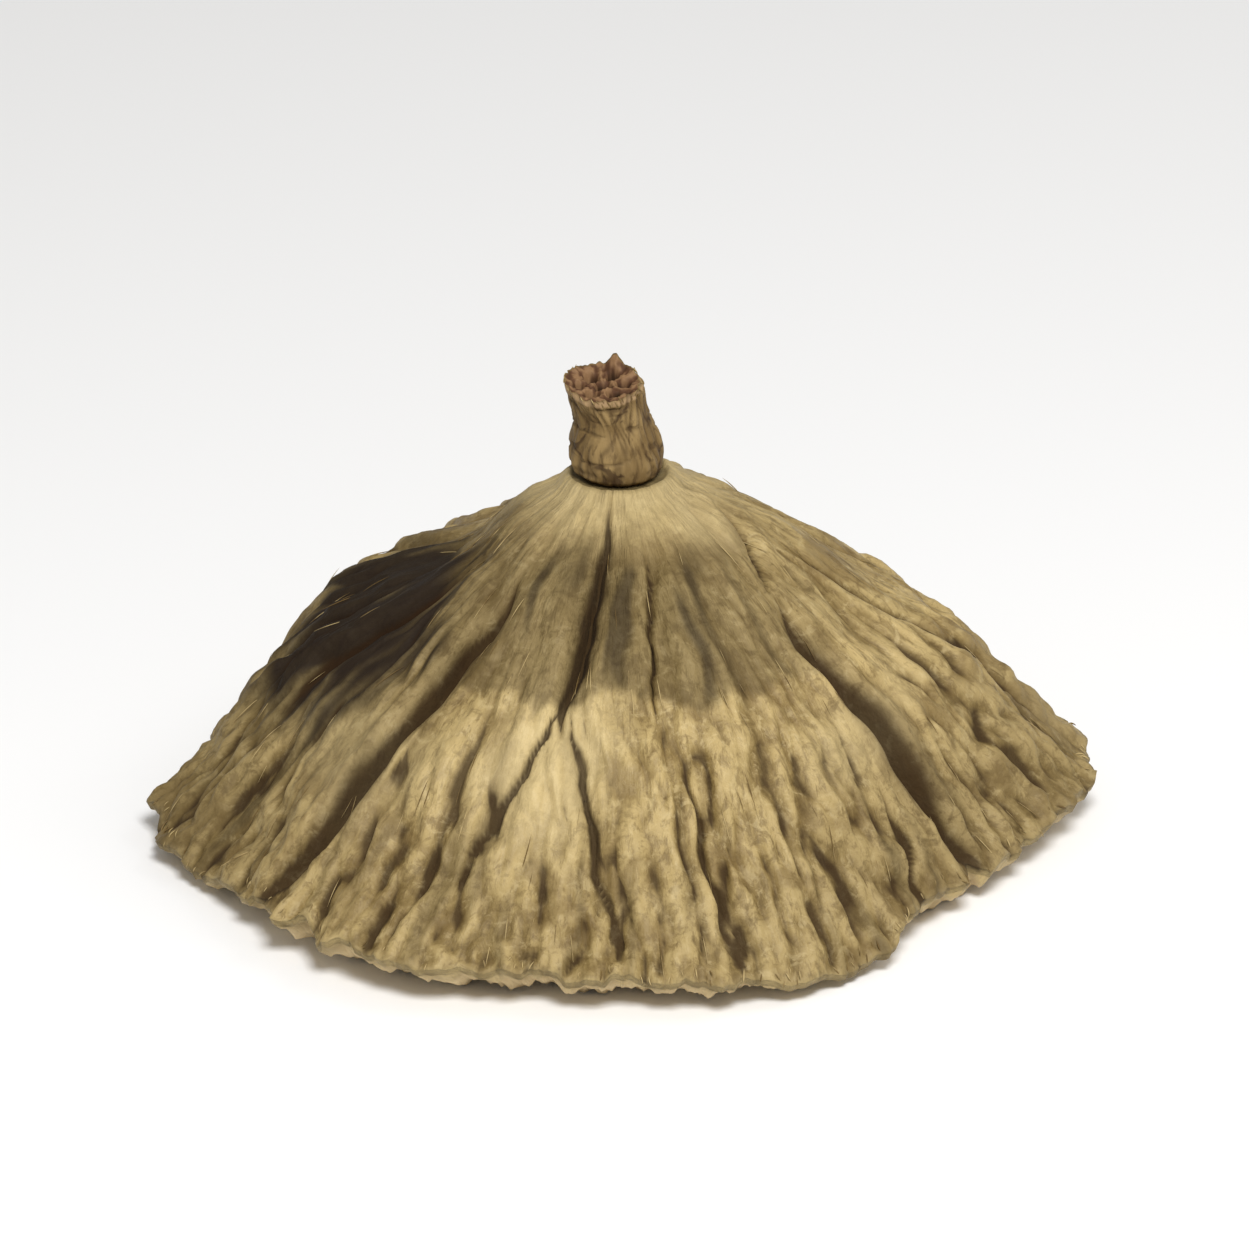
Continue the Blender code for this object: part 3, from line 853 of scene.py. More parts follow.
@dataclass
class StemStub:
    """The cut stem: a ribbed stalk with a swollen foot, a dished cut end and open air channels.

    Attributes:
        shift: moves its foot to its place.
        foot_height: of its foot above the surface that the pod rests on.
        length: from foot to cut.
        foot_radius: at its widest.
        lean: how far its top stands to the side.
        columns: points around.
        side_rows: rings of points down its side.
        cut_rows: rings of points across its cut.
        profile: share of the length, and share of the radius.
        channels: distance from the middle in mm, azimuth in degrees, and radius in mm.
    """

    shift: Vector
    foot_height: float = 35.8 * MM
    length: float = 9.7 * MM
    foot_radius: float = 4.3 * MM
    lean: float = -1.5 * MM
    columns: int = 168
    side_rows: int = 62
    cut_rows: int = 26
    profile: tuple = (
        (0.0, 0.84), (0.03, 0.93), (0.08, 0.985), (0.2, 1.0), (0.35, 0.955), (0.5, 0.86), (0.68, 0.815),
        (0.85, 0.81), (0.96, 0.815), (1.0, 0.80),
    )
    channels: tuple = (
        (0.1, 0.0, 0.75), (1.95, 5.0, 0.7), (2.05, 62.0, 0.6), (1.9, 122.0, 0.75), (2.1, 178.0, 0.55),
        (1.95, 242.0, 0.7), (2.0, 300.0, 0.65),
    )

    def side(self) -> tuple[np.ndarray, dict]:
        """The stalk's side, from its cut edge down to its foot."""
        heights = np.linspace(1.0, 0.0, self.side_rows)
        a, h = np.meshgrid(np.linspace(-math.pi, math.pi, self.columns, endpoint=False), heights)
        radius = self.foot_radius * smooth_through(self.profile, h)
        along = h * self.length
        drift = 0.25 * Grain(14, 6).at(a / TURN * 6, along / (4 * MM))
        ribs = Grain(15, 22).at((a + drift) / TURN * 22, along / (7 * MM))
        fine = Grain(16, 60).at((a + drift) / TURN * 60, along / (2.2 * MM))
        lumps = Grain(17, 9).at(a / TURN * 9, along / (2.6 * MM))
        cracks = Grain(18, 7).at(a / TURN * 7, along / (0.7 * MM))
        swell = 0.32 * MM * (np.abs(ribs) ** 0.8 - 0.4) + 0.09 * MM * fine + 0.22 * MM * lumps
        ring = 0.6 * np.exp(-(((h - 0.115 + 0.02 * lumps) / 0.03) ** 2)) * step(-0.3, 0.3, fine + lumps)
        cracked = step(-0.2, 0.25, cracks + 0.5 * lumps)
        ring += 0.8 * np.exp(-(((h - 0.87 + 0.02 * lumps) / 0.016) ** 2)) * cracked
        ring += 0.5 * np.exp(-(((h - 0.6 + 0.03 * lumps) / 0.014) ** 2)) * step(0.0, 0.4, lumps)
        swell -= 0.28 * MM * ring + 0.12 * MM * step(0.35, 0.6, cracks)
        radius = radius + swell * np.minimum(1.0, 0.3 + h * 8)
        x = radius * np.cos(a) + self.lean * h**1.5
        y = radius * np.sin(a)
        ragged = sum(
            height * MM * Grain(seed, count).at(a / TURN * count, 0.0)
            for seed, count, height in ((19, 17, 0.22), (23, 48, 0.16), (20, 5, 0.3))
        )
        ragged += 0.9 * MM * np.exp(-((angle_between(np.degrees(a), 68.0) / 11) ** 2))
        slant = 1.15 * MM * (0.5 - 0.5 * np.sin(a)) ** 1.3
        z = along + ragged * step(0.86, 1.0, h) - slant * h**3
        # Painted shade in the rib grooves, the rings and the cracks.
        hollow = 0.75 * np.exp(-((ribs / 0.14) ** 2)) + 0.8 * ring + 0.7 * step(0.4, 0.6, cracks)
        paints = {
            "hollow": np.clip(hollow, 0, 1),
            "tone": np.clip(0.5 + 0.5 * lumps + 0.25 * fine, 0, 1),
            # pale: a painted highlight in a band just under the cut edge.
            "pale": np.clip(0.75 * step(0.90, 0.93, h) * step(1.0, 0.975, h), 0, 1),
            "down": along / MM,
        }
        return np.stack((x, y, z), -1), paints

    def build(self) -> bpy.types.Object:
        """The finished stem stub."""
        surface = Surface("hollow", "pale", "tone", "down", "cut")
        grid, paints = self.side()
        self.grid = grid + np.array((0.0, 0.0, self.foot_height))
        rings = [surface.add(grid[k], **{n: v[k] for n, v in paints.items()}) for k in range(len(grid))]
        for one, other in zip(rings[:-1], rings[1:]):
            surface.bridge(one, other)
        top = grid[0]
        middle = np.array((self.lean, 0.0, self.length))
        before = rings[0]
        for k in range(1, self.cut_rows):
            share = 1 - k / self.cut_rows
            ring = middle + (top - middle) * share
            x, y = (ring[:, 0] - self.lean) / MM, ring[:, 1] / MM
            rough = Grain(21).at(x / 0.9 + 20, y / 0.9 + 20)
            rough += 0.6 * Grain(22).at(x / 0.35 + 9, y / 0.35 + 9)
            well = np.zeros(len(ring))
            for out, bearing, size in self.channels:
                b = math.radians(bearing)
                away = np.hypot(x - out * math.cos(b), y - out * math.sin(b)) / size
                well = np.maximum(well, 1 / (1 + np.exp((away - 0.8) * 9)))
            dish = 0.95 * MM * (1 - share**4)
            ring[:, 2] = self.length + (ring[:, 2] - self.length) * share**2
            ring[:, 2] += -dish - 2.3 * MM * well + 0.26 * MM * rough * (1 - share**8)
            # Painted shade in the air channels and the dips of the cut end.
            hollow = np.clip(0.2 - 0.5 * rough + 1.2 * well, 0.0, 1.0)
            tone = np.clip(0.5 + 0.6 * rough, 0, 1)
            added = surface.add(ring, cut=min(1.0, 0.2 + k / 3), hollow=hollow, tone=tone)
            surface.bridge(added, before)
            before = added
        # The bottom of the dished cut takes full painted shade.
        tip = surface.add(middle - np.array((0.0, 0.0, 2.6 * MM)), cut=1.0, hollow=1.0)
        surface.fan(before, int(tip[0]))
        # The hidden underside of the foot is painted fully shaded.
        under = surface.add(np.zeros(3), hollow=1.0)
        surface.fan(rings[-1], int(under[0]), outward=False)
        mesh = surface.mesh("stem", self.shift + Vector((0.0, 0.0, self.foot_height)))
        return new_object("stem", mesh)


# ------------------------------------------------------------------ node trees and materials


class Wire:
    """An output in a node tree, with arithmetic that adds Math nodes."""

    def __init__(self, sheet: "Net", socket: bpy.types.NodeSocket) -> None:
        """Hold an output and the tree it is in."""
        self.sheet = sheet
        self.socket = socket

    def __add__(self, other: "Wire | float") -> "Wire":
        """The sum."""
        return self.sheet.maths("ADD", self, other)

    __radd__ = __add__

    def __mul__(self, other: "Wire | float") -> "Wire":
        """The product."""
        return self.sheet.maths("MULTIPLY", self, other)

    __rmul__ = __mul__

    def __sub__(self, other: "Wire | float") -> "Wire":
        """The difference."""
        return self.sheet.maths("SUBTRACT", self, other)

    def __rsub__(self, other: "Wire | float") -> "Wire":
        """The difference, the other way round."""
        return self.sheet.maths("SUBTRACT", other, self)

    def rise(self, low: float, high: float) -> "Wire":
        """0 at low, 1 at high, with a soft rise between."""
        settings = {"interpolation_type": "SMOOTHSTEP", "clamp": True}
        inputs = {"Value": self, "From Min": low, "From Max": high}
        return self.sheet.out("ShaderNodeMapRange", settings, inputs, "Result")


class Net:
    """A node tree that is built node by node."""

    def __init__(self, tree: bpy.types.NodeTree) -> None:
        """Hold the tree."""
        self.tree = tree

    def node(self, kind: str, settings: dict | None = None, inputs: dict | None = None) -> bpy.types.Node:
        """Add a node.

        Args:
            kind: its type.
            settings: its properties, set first.
            inputs: values or links of its sockets, by name or number.

        Returns:
            The node.
        """
        made = self.tree.nodes.new(kind)
        for name, value in (settings or {}).items():
            setattr(made, name, value)
        for name, value in (inputs or {}).items():
            self.plug(made.inputs[name], value)
        return made

    def out(
        self, kind: str, settings: dict | None = None, inputs: dict | None = None, output: int | str = 0
    ) -> Wire:
        """Add a node and take one of its outputs.

        Args:
            kind: its type.
            settings: its properties, set first.
            inputs: values or links of its sockets, by name or number.
            output: name or number of the output.

        Returns:
            The output.
        """
        return Wire(self, self.node(kind, settings, inputs).outputs[output])

    def plug(self, socket: bpy.types.NodeSocket, value: "Wire | float | tuple") -> None:
        """Give a socket a link or a value."""
        if isinstance(value, Wire):
            self.tree.links.new(value.socket, socket)
        else:
            socket.default_value = value

    def maths(self, operation: str, a: "Wire | float", b: "Wire | float") -> Wire:
        """A Math node on two values."""
        return self.out("ShaderNodeMath", {"operation": operation}, {0: a, 1: b})


class Sheet(Net):
    """The node tree of one material."""

    def __init__(self, name: str) -> None:
        """Start a material with a Principled shader."""
        self.material = bpy.data.materials.new(name)
        self.material.use_nodes = True
        super().__init__(self.material.node_tree)
        self.shader = self.tree.nodes["Principled BSDF"]

    def painted(self, name: str) -> Wire:
        """A value painted on the mesh."""
        return self.out("ShaderNodeAttribute", {"attribute_name": name}, None, "Fac")

    def vector(self, operation: str, a: "Wire | tuple", b: "Wire | tuple" = (0.0, 0.0, 0.0)) -> Wire:
        """A Vector Math node."""
        return self.out("ShaderNodeVectorMath", {"operation": operation}, {0: a, 1: b})

    def place(self) -> Wire:
        """The place on the object, in metres."""
        return self.out("ShaderNodeTexCoord", None, None, "Object")

    def noise(
        self, where: Wire, scale: float, detail: float = 3.0, rough: float = 0.55, bend: float = 0.0
    ) -> Wire:
        """Soft noise, from 0 to 1."""
        inputs = {"Vector": where, "Scale": scale, "Detail": detail, "Roughness": rough, "Distortion": bend}
        return self.out("ShaderNodeTexNoise", None, inputs)

    def mix(self, share: "Wire | float", a: "Wire | tuple", b: "Wire | tuple") -> Wire:
        """A colour between two."""
        settings = {"data_type": "RGBA", "blend_type": "MIX"}
        return self.out("ShaderNodeMix", settings, {0: share, 6: a, 7: b}, 2)

    def layers(self, colour: Wire, *coats: tuple) -> Wire:
        """A colour under thin coats of others, each given as its share and its colour."""
        for share, coat in coats:
            colour = self.mix(share, colour, coat)
        return colour

    def finish(self, colour: Wire, rough: Wire, bump: Wire, depth: float) -> None:
        """Connect colour, roughness and bump to the shader.

        Args:
            colour: of the surface.
            rough: its roughness.
            bump: height of its relief, from 0 to about 1.
            depth: of the relief.
        """
        normal = self.out("ShaderNodeBump", None, {"Height": bump, "Distance": depth, "Strength": 1.0})
        self.plug(self.shader.inputs["Base Color"], colour)
        self.plug(self.shader.inputs["Roughness"], rough)
        self.plug(self.shader.inputs["Normal"], normal)
        self.plug(self.shader.inputs["Specular IOR Level"], DULL_SPECULAR)


def paint(red: int, green: int, blue: int) -> tuple[float, float, float, float]:
    """A colour on the usual 0 to 255 screen scale, as linear light."""
    shares = (red / 255, green / 255, blue / 255)
    linear = (c / 12.92 if c <= 0.04045 else ((c + 0.055) / 1.055) ** 2.4 for c in shares)
    return (*linear, 1.0)


def around_axis(sheet: Sheet, shift: Vector, across: float, down: Wire, stretch: float) -> Wire:
    """A place on a grain that runs down the pod: turned around its axis, stretched along the skin.

    Args:
        sheet: the material.
        shift: where the axis stands.
        across: grains for each radian around.
        down: distance down the skin, in millimetres.
        stretch: grains for each millimetre down.

    Returns:
        The place, for a noise of scale 1.
    """
    place = sheet.vector("SUBTRACT", sheet.place(), (shift.x, shift.y, 0.0))
    flat = sheet.vector("NORMALIZE", sheet.vector("MULTIPLY", place, (1.0, 1.0, 0.0)))
    wide = sheet.vector("MULTIPLY", flat, (across, across, 0.0))
    low = sheet.out("ShaderNodeCombineXYZ", None, {"Z": down * stretch})
    return sheet.vector("ADD", wide, low)


@dataclass(frozen=True)
class SkinFinish:
    """The finish of the pod: golden khaki skin, beige seed face and dark brown holes, with painted shade in
    folds, creases and down the holes, painted highlight on crests and a painted shadow on the left shoulder.
    """

    middle: tuple = paint(130, 109, 65)
    # Paler grain, and through the tone the painted highlight on the crests.
    light: tuple = paint(178, 155, 104)
    # Dark grain lines; also the painted shade in the seed face's furrows and at the lips' feet.
    streak: tuple = paint(82, 61, 25)
    olive: tuple = paint(110, 88, 48)
    # Greyer skin and streaks; also the painted shade on the sides and the left shoulder.
    grey: tuple = paint(80, 65, 35)
    # Painted shadow on the left shoulder and painted shade deep in the seed holes.
    shade_brown: tuple = paint(28, 16, 5)
    # Paler skin, and the painted highlight in the patch between the middle folds.
    pale_and_highlight: tuple = paint(200, 179, 130)
    # Painted shade in the folds and creases.
    fold: tuple = paint(44, 27, 9)
    face: tuple = paint(202, 178, 134)
    face_dark: tuple = paint(146, 120, 78)
    lip: tuple = paint(222, 202, 160)
    wall: tuple = paint(84, 60, 34)
    wall_light: tuple = paint(124, 98, 58)

    def make(self, shift: Vector) -> bpy.types.Material:
        """The material of the pod, whose axis stands at shift."""
        sheet = Sheet("dry_pod")
        hollow, weather, pale = (sheet.painted(n) for n in ("hollow", "weather", "pale"))
        inner, down, tone = (sheet.painted(n) for n in ("inner", "down", "tone"))
        fibre = sheet.noise(around_axis(sheet, shift, 30.0, down, 0.40), 1.0, 6.0, 0.68, 0.5)
        thread = sheet.noise(around_axis(sheet, shift, 95.0, down, 0.6), 1.0, 3.0, 0.6, 0.3)
        cloud = sheet.noise(sheet.place(), 110.0, 4.0, 0.65, 0.6)
        mottle = sheet.noise(sheet.place(), 620.0, 4.0, 0.7, 0.5)
        speck = sheet.noise(sheet.place(), 1500.0, 2.0, 0.6)
        skin = sheet.layers(
            # The tone: painted highlight on crests, painted shade in creases.
            sheet.mix(tone.rise(0.15, 0.85), self.middle, self.light),
            (fibre.rise(0.52, 0.64) * 0.4, self.light),
            (fibre.rise(0.49, 0.38) * 0.45, self.streak),
            (thread.rise(0.55, 0.66) * 0.3, self.streak),
            (mottle.rise(0.52, 0.66) * 0.42, self.streak),
            (mottle.rise(0.47, 0.34) * 0.4, self.pale_and_highlight),
            (cloud.rise(0.48, 0.60) * 0.55, self.olive),
            # Paler skin, with the painted highlight between the middle folds.
            (pale * (0.42 + 0.5 * fibre), self.pale_and_highlight),
            # Grey weathering and streaks with the painted shade on the sides; the darkest part is the painted
            # shadow on the left shoulder.
            (weather.rise(0.0, 0.75) * (0.5 + 0.5 * mottle), self.grey),
            (weather.rise(0.5, 1.0) * (0.85 + 0.2 * fibre), self.shade_brown),
            # Painted shade in the folds and creases.
            (hollow.rise(0.12, 1.0) * (0.7 + 0.3 * fibre), self.fold),
        )
        face = sheet.layers(
            sheet.mix(tone.rise(0.2, 0.8), self.face_dark, self.face),
            (cloud.rise(0.42, 0.66) * 0.45, self.lip),
            (speck.rise(0.56, 0.7) * 0.5, self.face_dark),
            (pale, self.lip),
            # Painted shade in the margin's furrows and at the lips' feet.
            (hollow.rise(0.2, 1.0) * 0.7, self.streak),
        )
        wall = sheet.layers(
            sheet.mix(tone.rise(0.35, 0.9), self.wall, self.wall_light),
            # Painted shade darkening towards the bottom of each hole.
            (hollow.rise(0.1, 1.0) * 0.6, self.shade_brown),
            (pale, self.face),
        )
        colour = sheet.layers(skin, (inner.rise(0.1, 0.9), face), (inner.rise(1.2, 1.8), wall))
        rough = 0.42 + 0.35 * hollow + 0.3 * weather + 0.25 * inner.rise(0.0, 1.0)
        rough = rough + 0.15 * mottle - 0.1 * fibre
        height = 0.55 * fibre + 0.3 * thread + 0.3 * mottle + 0.2 * speck
        sheet.finish(colour, rough, height, 0.32 * MM)
        return sheet.material


@dataclass(frozen=True)
class StemFinish:
    """The finish of the stem: a dull grey-brown stalk, darker and redder at the cut, with painted shade in
    its grooves, cracks and channels and a painted highlight just under the cut edge.
    """

    bark: tuple = paint(108, 86, 50)
    bark_light: tuple = paint(140, 116, 74)
    bark_dark: tuple = paint(74, 54, 28)
    # Dark spots, and painted shade in grooves, rings, cracks and channels.
    spots_and_shade: tuple = paint(50, 32, 14)
    cut: tuple = paint(84, 55, 34)
    cut_light: tuple = paint(134, 102, 70)
    # Painted highlight in the band under the cut edge.
    edge: tuple = paint(172, 142, 106)

    def make(self) -> bpy.types.Material:
        """The material of the stem."""
        sheet = Sheet("dry_stalk")
        hollow, pale, tone, cut = (sheet.painted(n) for n in ("hollow", "pale", "tone", "cut"))
        tall = sheet.vector("MULTIPLY", sheet.place(), (1.0, 1.0, 0.28))
        fibre = sheet.noise(tall, 1500.0, 4.0, 0.6, 0.3)
        blotch = sheet.noise(sheet.place(), 420.0, 3.0, 0.6, 0.8)
        bark = sheet.layers(
            sheet.mix(tone.rise(0.2, 0.9), self.bark, self.bark_light),
            (fibre.rise(0.5, 0.35) * 0.6, self.bark_dark),
            (blotch.rise(0.58, 0.68) * 0.75, self.spots_and_shade),
            # Painted highlight just under the cut edge.
            (pale * 0.8, self.edge),
            # Painted shade in grooves, rings and cracks.
            (hollow * 0.7, self.spots_and_shade),
        )
        end = sheet.mix(tone.rise(0.3, 0.8), self.cut, self.cut_light)
        # Painted shade in the air channels and the dips of the cut.
        end = sheet.mix(hollow.rise(0.3, 0.9), end, self.spots_and_shade)
        colour = sheet.mix(cut.rise(0.1, 0.7), bark, end)
        rough = 0.62 + 0.2 * hollow
        height = 0.6 * fibre + 0.4 * blotch
        sheet.finish(colour, rough, height, 0.25 * MM)
        return sheet.material


@dataclass(frozen=True)
class FibreFinish:
    """The finish of loose dry fibres: pale straw."""

    straw: tuple = paint(182, 160, 112)
    brown: tuple = paint(104, 82, 44)

    def make(self, name: str) -> bpy.types.Material:
        """The material of loose fibres."""
        sheet = Sheet(name)
        patch = sheet.noise(sheet.place(), 260.0, 3.0)
        colour = sheet.mix(patch.rise(0.4, 0.62), self.brown, self.straw)
        sheet.finish(colour, 0.5 + 0.2 * patch, sheet.noise(sheet.place(), 3000.0), 0.03 * MM)
        return sheet.material


# ------------------------------------------------------------------ loose fibres, by Geometry Nodes


class Slot(Enum):
    """The material slots of the part."""

    SKIN = "pod_skin"
    STEM = "stem"


@dataclass(frozen=True)
class Fibres:
    """Loose fibres scattered on a strip of surface, each lying along the strip's own direction.

    Attributes:
        density: fibres for each square metre.
        length: of a fibre.
        thickness: of a fibre.
        curl: how far its middle bows up.
        tilt: the most that one turns from its direction, in radians.
        seed: of the scatter.
    """

    density: float
    length: float
    thickness: float
    curl: float
    tilt: float
    seed: int

    def tree(self, name: str, material: bpy.types.Material) -> bpy.types.NodeTree:
        """The Geometry Nodes tree that scatters the fibres."""
        tree = bpy.data.node_groups.new(name, "GeometryNodeTree")
        face = tree.interface
        face.new_socket("Strip", in_out="INPUT", socket_type="NodeSocketGeometry")
        for label in ("Density", "Length", "Thickness", "Curl", "Tilt"):
            face.new_socket(label, in_out="INPUT", socket_type="NodeSocketFloat")
        face.new_socket("Seed", in_out="INPUT", socket_type="NodeSocketInt")
        face.new_socket("Fibres", in_out="OUTPUT", socket_type="NodeSocketGeometry")

        net = Net(tree)
        given = {socket.name: Wire(net, socket) for socket in net.node("NodeGroupInput").outputs}
        inputs = {"Start": (-0.5, 0.0, 0.0), "End": (0.5, 0.0, 0.0)}
        line = net.out("GeometryNodeCurvePrimitiveLine", None, inputs)
        fine = net.out("GeometryNodeResampleCurve", None, {"Curve": line, "Count": 6})
        x = net.out("ShaderNodeSeparateXYZ", None, {0: net.out("GeometryNodeInputPosition")}, "X")
        bow = 1 - 4 * (x * x)
        raised = net.out("ShaderNodeCombineXYZ", None, {"Z": bow * given["Curl"]})
        moved = net.out("GeometryNodeSetPosition", None, {"Geometry": fine, "Offset": raised})
        ratio = net.maths("DIVIDE", given["Thickness"], given["Length"])
        section = net.out("GeometryNodeCurvePrimitiveCircle", None, {"Resolution": 4, "Radius": ratio})
        inputs = {"Curve": moved, "Profile Curve": section, "Scale": 0.15 + 0.85 * bow, "Fill Caps": True}
        tube = net.out("GeometryNodeCurveToMesh", None, inputs)
        inputs = {"Mesh": given["Strip"], "Density": given["Density"], "Seed": given["Seed"]}
        points = net.node("GeometryNodeDistributePointsOnFaces", {"distribute_method": "RANDOM"}, inputs)
        normal = Wire(net, points.outputs["Normal"])
        up = net.out("FunctionNodeAlignRotationToVector", {"axis": "Z"}, {"Vector": normal})
        settings = {"data_type": "FLOAT_VECTOR"}
        lie = net.out("GeometryNodeInputNamedAttribute", settings, {"Name": "lie"}, "Attribute")
        inputs = {"Rotation": up, "Vector": lie}
        laid = net.out("FunctionNodeAlignRotationToVector", {"axis": "X", "pivot_axis": "Z"}, inputs)
        most, least = given["Tilt"], given["Tilt"] * -1.0
        low = net.out("ShaderNodeCombineXYZ", None, {"X": 0.0, "Y": least, "Z": least})
        high = net.out("ShaderNodeCombineXYZ", None, {"X": 0.0, "Y": most, "Z": most})
        sway = net.out("FunctionNodeRandomValue", settings, {0: low, 1: high, "Seed": given["Seed"]})
        euler = net.out("FunctionNodeEulerToRotation", None, {0: sway})
        turned = net.out("FunctionNodeRotateRotation", {"rotation_space": "LOCAL"}, {0: laid, 1: euler})
        inputs = {2: 0.45, 3: 1.0, "Seed": given["Seed"]}
        size = net.out("FunctionNodeRandomValue", {"data_type": "FLOAT"}, inputs, 1)
        inputs = {"Points": Wire(net, points.outputs["Points"]), "Instance": tube, "Rotation": turned}
        inputs["Scale"] = size * given["Length"]
        many = net.out("GeometryNodeInstanceOnPoints", None, inputs)
        real = net.out("GeometryNodeRealizeInstances", None, {0: many})
        dressed = net.out("GeometryNodeSetMaterial", None, {"Geometry": real, "Material": material})
        net.node("NodeGroupOutput", None, {0: dressed})
        return tree

    def grow(self, name: str, strip: bpy.types.Mesh, material: bpy.types.Material) -> bpy.types.Object:
        """Scatter the fibres on a strip and return them as one plain mesh.

        Args:
            name: of the piece.
            strip: the surface they grow on, with a vector attribute "lie".
            material: their finish.

        Returns:
            The fibres' object.
        """
        carrier = new_object(name + "_strip", strip)
        tree = self.tree(name + "_tree", material)
        scatter = carrier.modifiers.new("scatter", "NODES")
        scatter.node_group = tree
        values = {field.name.capitalize(): getattr(self, field.name) for field in fields(self)}
        for item in tree.interface.items_tree:
            if item.in_out == "INPUT" and item.name in values:
                scatter[item.identifier] = values[item.name]
        bpy.context.view_layer.update()
        evaluated = carrier.evaluated_get(bpy.context.evaluated_depsgraph_get())
        mesh = bpy.data.meshes.new_from_object(evaluated)
        mesh.name = name
        bpy.data.objects.remove(carrier, do_unlink=True)
        if not mesh.materials:
            mesh.materials.append(material)
        mesh.shade_smooth()
        return new_object(name, mesh)


def strip_mesh(name: str, grid: np.ndarray, lie: np.ndarray, shift: Vector) -> bpy.types.Mesh:
    """A closed band of faces from a grid, with the direction that fibres take on it.

    Args:
        name: of the mesh.
        grid: points by row and column, closed along the columns.
        lie: a direction for each point.
        shift: moves the band to its place.

    Returns:
        The mesh.
    """
    number = np.arange(grid[..., 0].size).reshape(grid.shape[:2])
    beside = np.roll(number, -1, 1)
    corners = np.stack((number[:-1], number[1:], beside[1:], beside[:-1]), -1)
    faces = corners.reshape(-1, 4).tolist()
    made = bpy.data.meshes.new(name)
    made.from_pydata((grid.reshape(-1, 3) + np.array(shift)).tolist(), [], faces)
    held = made.attributes.new("lie", "FLOAT_VECTOR", "POINT")
    held.data.foreach_set("vector", lie.reshape(-1).astype(np.float32))
    return made


# ------------------------------------------------------------------ the studio


@dataclass(frozen=True)
class Studio:
    """The pale floor, soft lights and camera.

    Attributes:
        azimuth: of the camera, in degrees from the front.
        elevation: of the camera, in degrees.
        distance: of the camera.
        frame_width: seen at that distance.
        sensor: of the camera, in millimetres.
        aim_drop: how far below the middle of the part the camera aims.
        world_strength: of the light from all sides.
        lamps: name, azimuth and elevation in degrees, distance, size and power.
        floor_half: half the floor's width.
    """

    azimuth: float = 0.0
    elevation: float = 25.0
    distance: float = 1.0
    frame_width: float = 0.118
    sensor: float = 36.0
    aim_drop: float = 3 * MM
    world_strength: float = 0.40
    lamps: tuple = (("key", -80.0, 52.0, 0.75, 0.22, 5.2), ("side", 10.0, 45.0, 0.9, 0.4, 1.0))
    floor_half: float = 3.0

    def build(self) -> None:
        """Make the floor, the lights and the camera."""
        scene = bpy.context.scene
        scene.view_settings.view_transform = "Standard"
        self.floor()
        world = bpy.data.worlds.new("studio")
        world.use_nodes = True
        background = world.node_tree.nodes["Background"]
        background.inputs["Color"].default_value = (1.0, 0.985, 0.96, 1.0)
        background.inputs["Strength"].default_value = self.world_strength
        scene.world = world
        for lamp in self.lamps:
            self.lamp(*lamp)
        camera = bpy.data.cameras.new("camera")
        camera.sensor_width = self.sensor
        camera.lens = self.sensor * self.distance / self.frame_width
        camera.clip_start, camera.clip_end = 0.05, 20.0
        eye = bpy.data.objects.new("camera", camera)
        scene.collection.objects.link(eye)
        low, high = CAD_BOX
        aim = (low + high) / 2 - Vector((0.0, 0.0, self.aim_drop))
        away = self.toward(self.azimuth - 90.0, self.elevation)
        eye.location = aim + away * self.distance
        eye.rotation_euler = (-away).to_track_quat("-Z", "Y").to_euler()
        scene.camera = eye

    @staticmethod
    def toward(azimuth: float, elevation: float) -> Vector:
        """A unit vector at this azimuth from +X and elevation, both in degrees."""
        a, e = math.radians(azimuth), math.radians(elevation)
        return Vector((math.cos(a) * math.cos(e), math.sin(a) * math.cos(e), math.sin(e)))

    def lamp(
        self, name: str, azimuth: float, elevation: float, away: float, size: float, power: float
    ) -> None:
        """A square soft light that points at the pod."""
        light = bpy.data.lights.new(name, "AREA")
        light.size = size
        light.energy = power
        made = bpy.data.objects.new(name, light)
        bpy.context.scene.collection.objects.link(made)
        direction = self.toward(azimuth, elevation)
        made.location = direction * away
        made.rotation_euler = (-direction).to_track_quat("-Z", "Y").to_euler()

    def floor(self) -> None:
        """The plain pale floor."""
        mesh = bpy.data.meshes.new("floor")
        half = self.floor_half
        corners = [(-half, -half, 0), (half, -half, 0), (half, half, 0), (-half, half, 0)]
        mesh.from_pydata(corners, [], [(0, 1, 2, 3)])
        made = new_object("floor", mesh)
        sheet = Sheet("pale_floor")
        sheet.shader.inputs["Base Color"].default_value = (0.88, 0.88, 0.88, 1.0)
        sheet.shader.inputs["Roughness"].default_value = 0.9
        mesh.materials.append(sheet.material)


# ------------------------------------------------------------------ assembly


def pod_shift(shape: PodShape) -> Vector:
    """Where the pod's axis stands: its box is centred over the origin."""
    azimuth = np.arange(0, 96) * 360.0 / 96
    rim, _ = shape.skin(azimuth, np.ones(96))
    low, high = rim.min(0), rim.max(0)
    return Vector((-(low[0] + high[0]) / 2, -(low[1] + high[1]) / 2, 0.0))


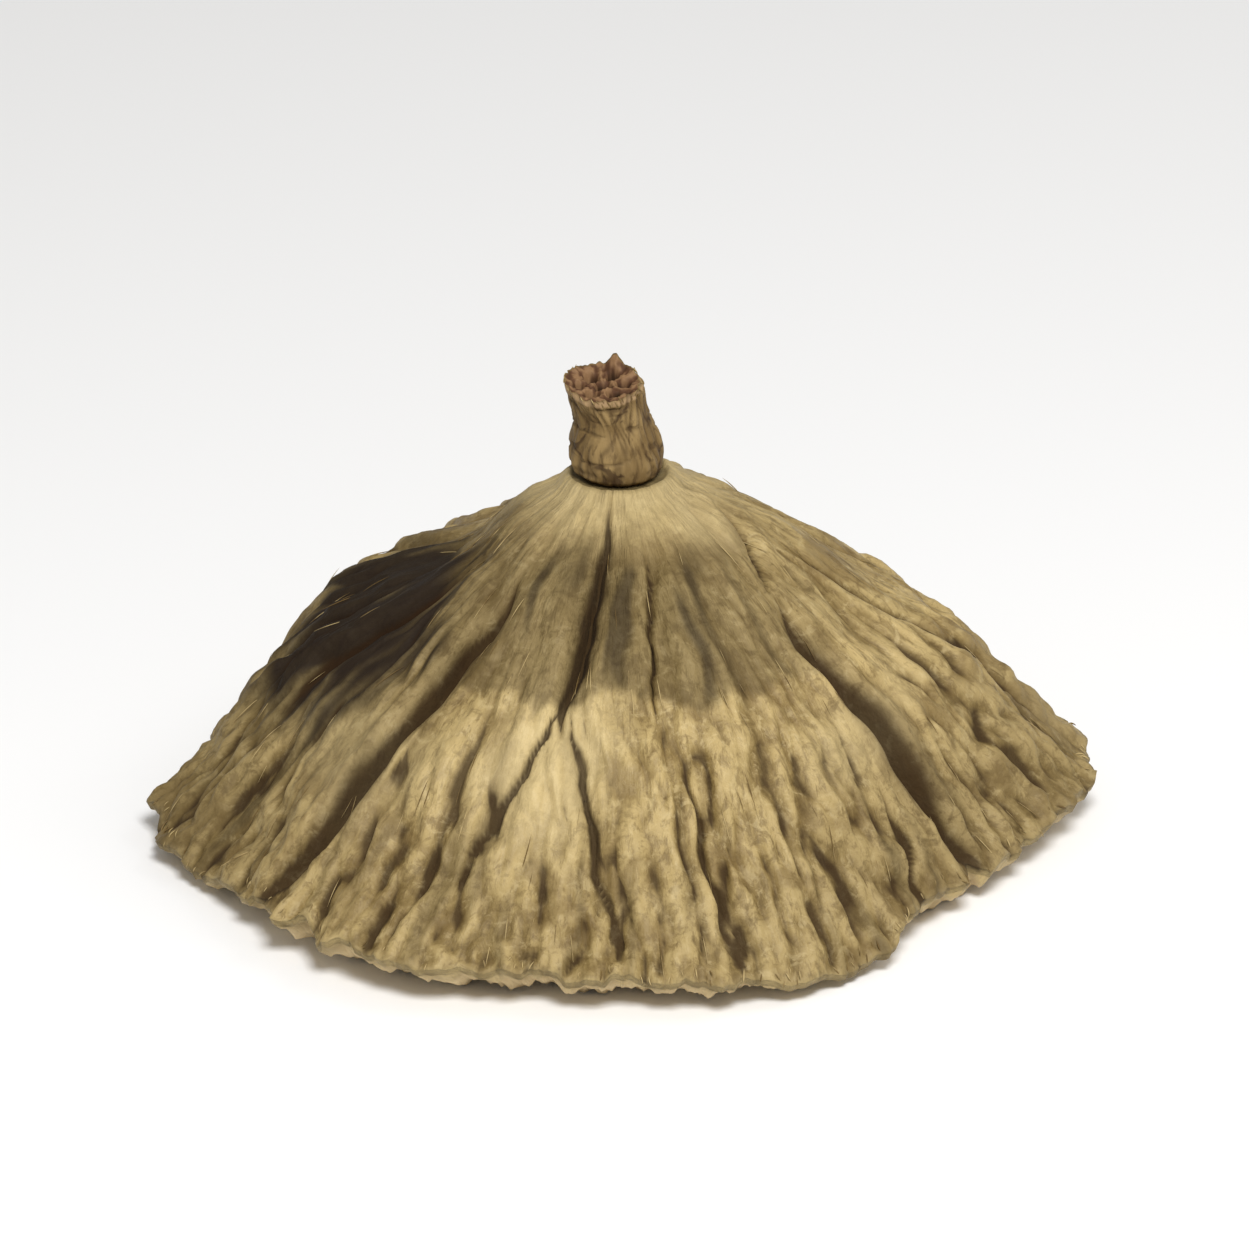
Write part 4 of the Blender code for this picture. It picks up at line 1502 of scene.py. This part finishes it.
def add_fibres(pod: SeedPod, stub: StemStub, shift: Vector) -> None:
    """Scatter loose fibres down the skin, along the rim and on the stem's cut edge.

    Args:
        pod: the built pod.
        stub: the built stem stub.
        shift: where the pod's axis stands.
    """
    straw = FibreFinish().make("loose_fibre")
    skin = pod.grid[12:-3:2, ::4]
    rim = pod.grid[-4:, ::2]
    cut_edge = stub.grid[:6, ::2]
    jobs = (
        ("skin_fibres", skin, 1.0, Fibres(30e3, 4.2 * MM, 0.055 * MM, 0.03, 0.12, 5), Slot.SKIN),
        ("rim_tags", rim, 1.0, Fibres(520e3, 1.3 * MM, 0.09 * MM, 0.12, 0.5, 8), Slot.SKIN),
        ("cut_fibres", cut_edge, -1.0, Fibres(2.4e6, 0.9 * MM, 0.07 * MM, 0.1, 0.4, 3), Slot.STEM),
    )
    for name, grid, sense, fibres, slot in jobs:
        lie = np.gradient(grid, axis=0) * sense
        lie /= np.maximum(np.linalg.norm(lie, axis=-1, keepdims=True), 1e-9)
        piece = fibres.grow(name, strip_mesh(name + "_strip", grid, lie, shift), straw)
        place(piece, None, slot)


def place(piece: bpy.types.Object, node: str | None, slot: Slot) -> None:
    """Fix a finished piece to the pod's body and log it.

    Args:
        piece: the piece.
        node: the CAD node it stands for, if it stands for one.
        slot: the material slot it belongs to; not used.
    """
    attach(piece, "root")
    if node:
        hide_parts(node)
    triangles = sum(len(p.vertices) - 2 for p in piece.data.polygons)
    log.info("%s: %d triangles", piece.name, triangles)


def main() -> None:
    """Build the pod, its stem and its loose fibres, and light them."""
    logging.basicConfig(level=logging.INFO, format="%(name)s %(message)s")
    shape = PodShape()
    shift = pod_shift(shape)
    pod = SeedPod(shape, shift)
    body = pod.build()
    body.data.materials.append(SkinFinish().make(shift))
    place(body, "seed_pod", Slot.SKIN)
    stub = StemStub(shift)
    stem = stub.build()
    stem.data.materials.append(StemFinish().make())
    place(stem, "stem_stub", Slot.STEM)
    add_fibres(pod, stub, shift)
    Studio().build()


if __name__ == "__main__":
    main()
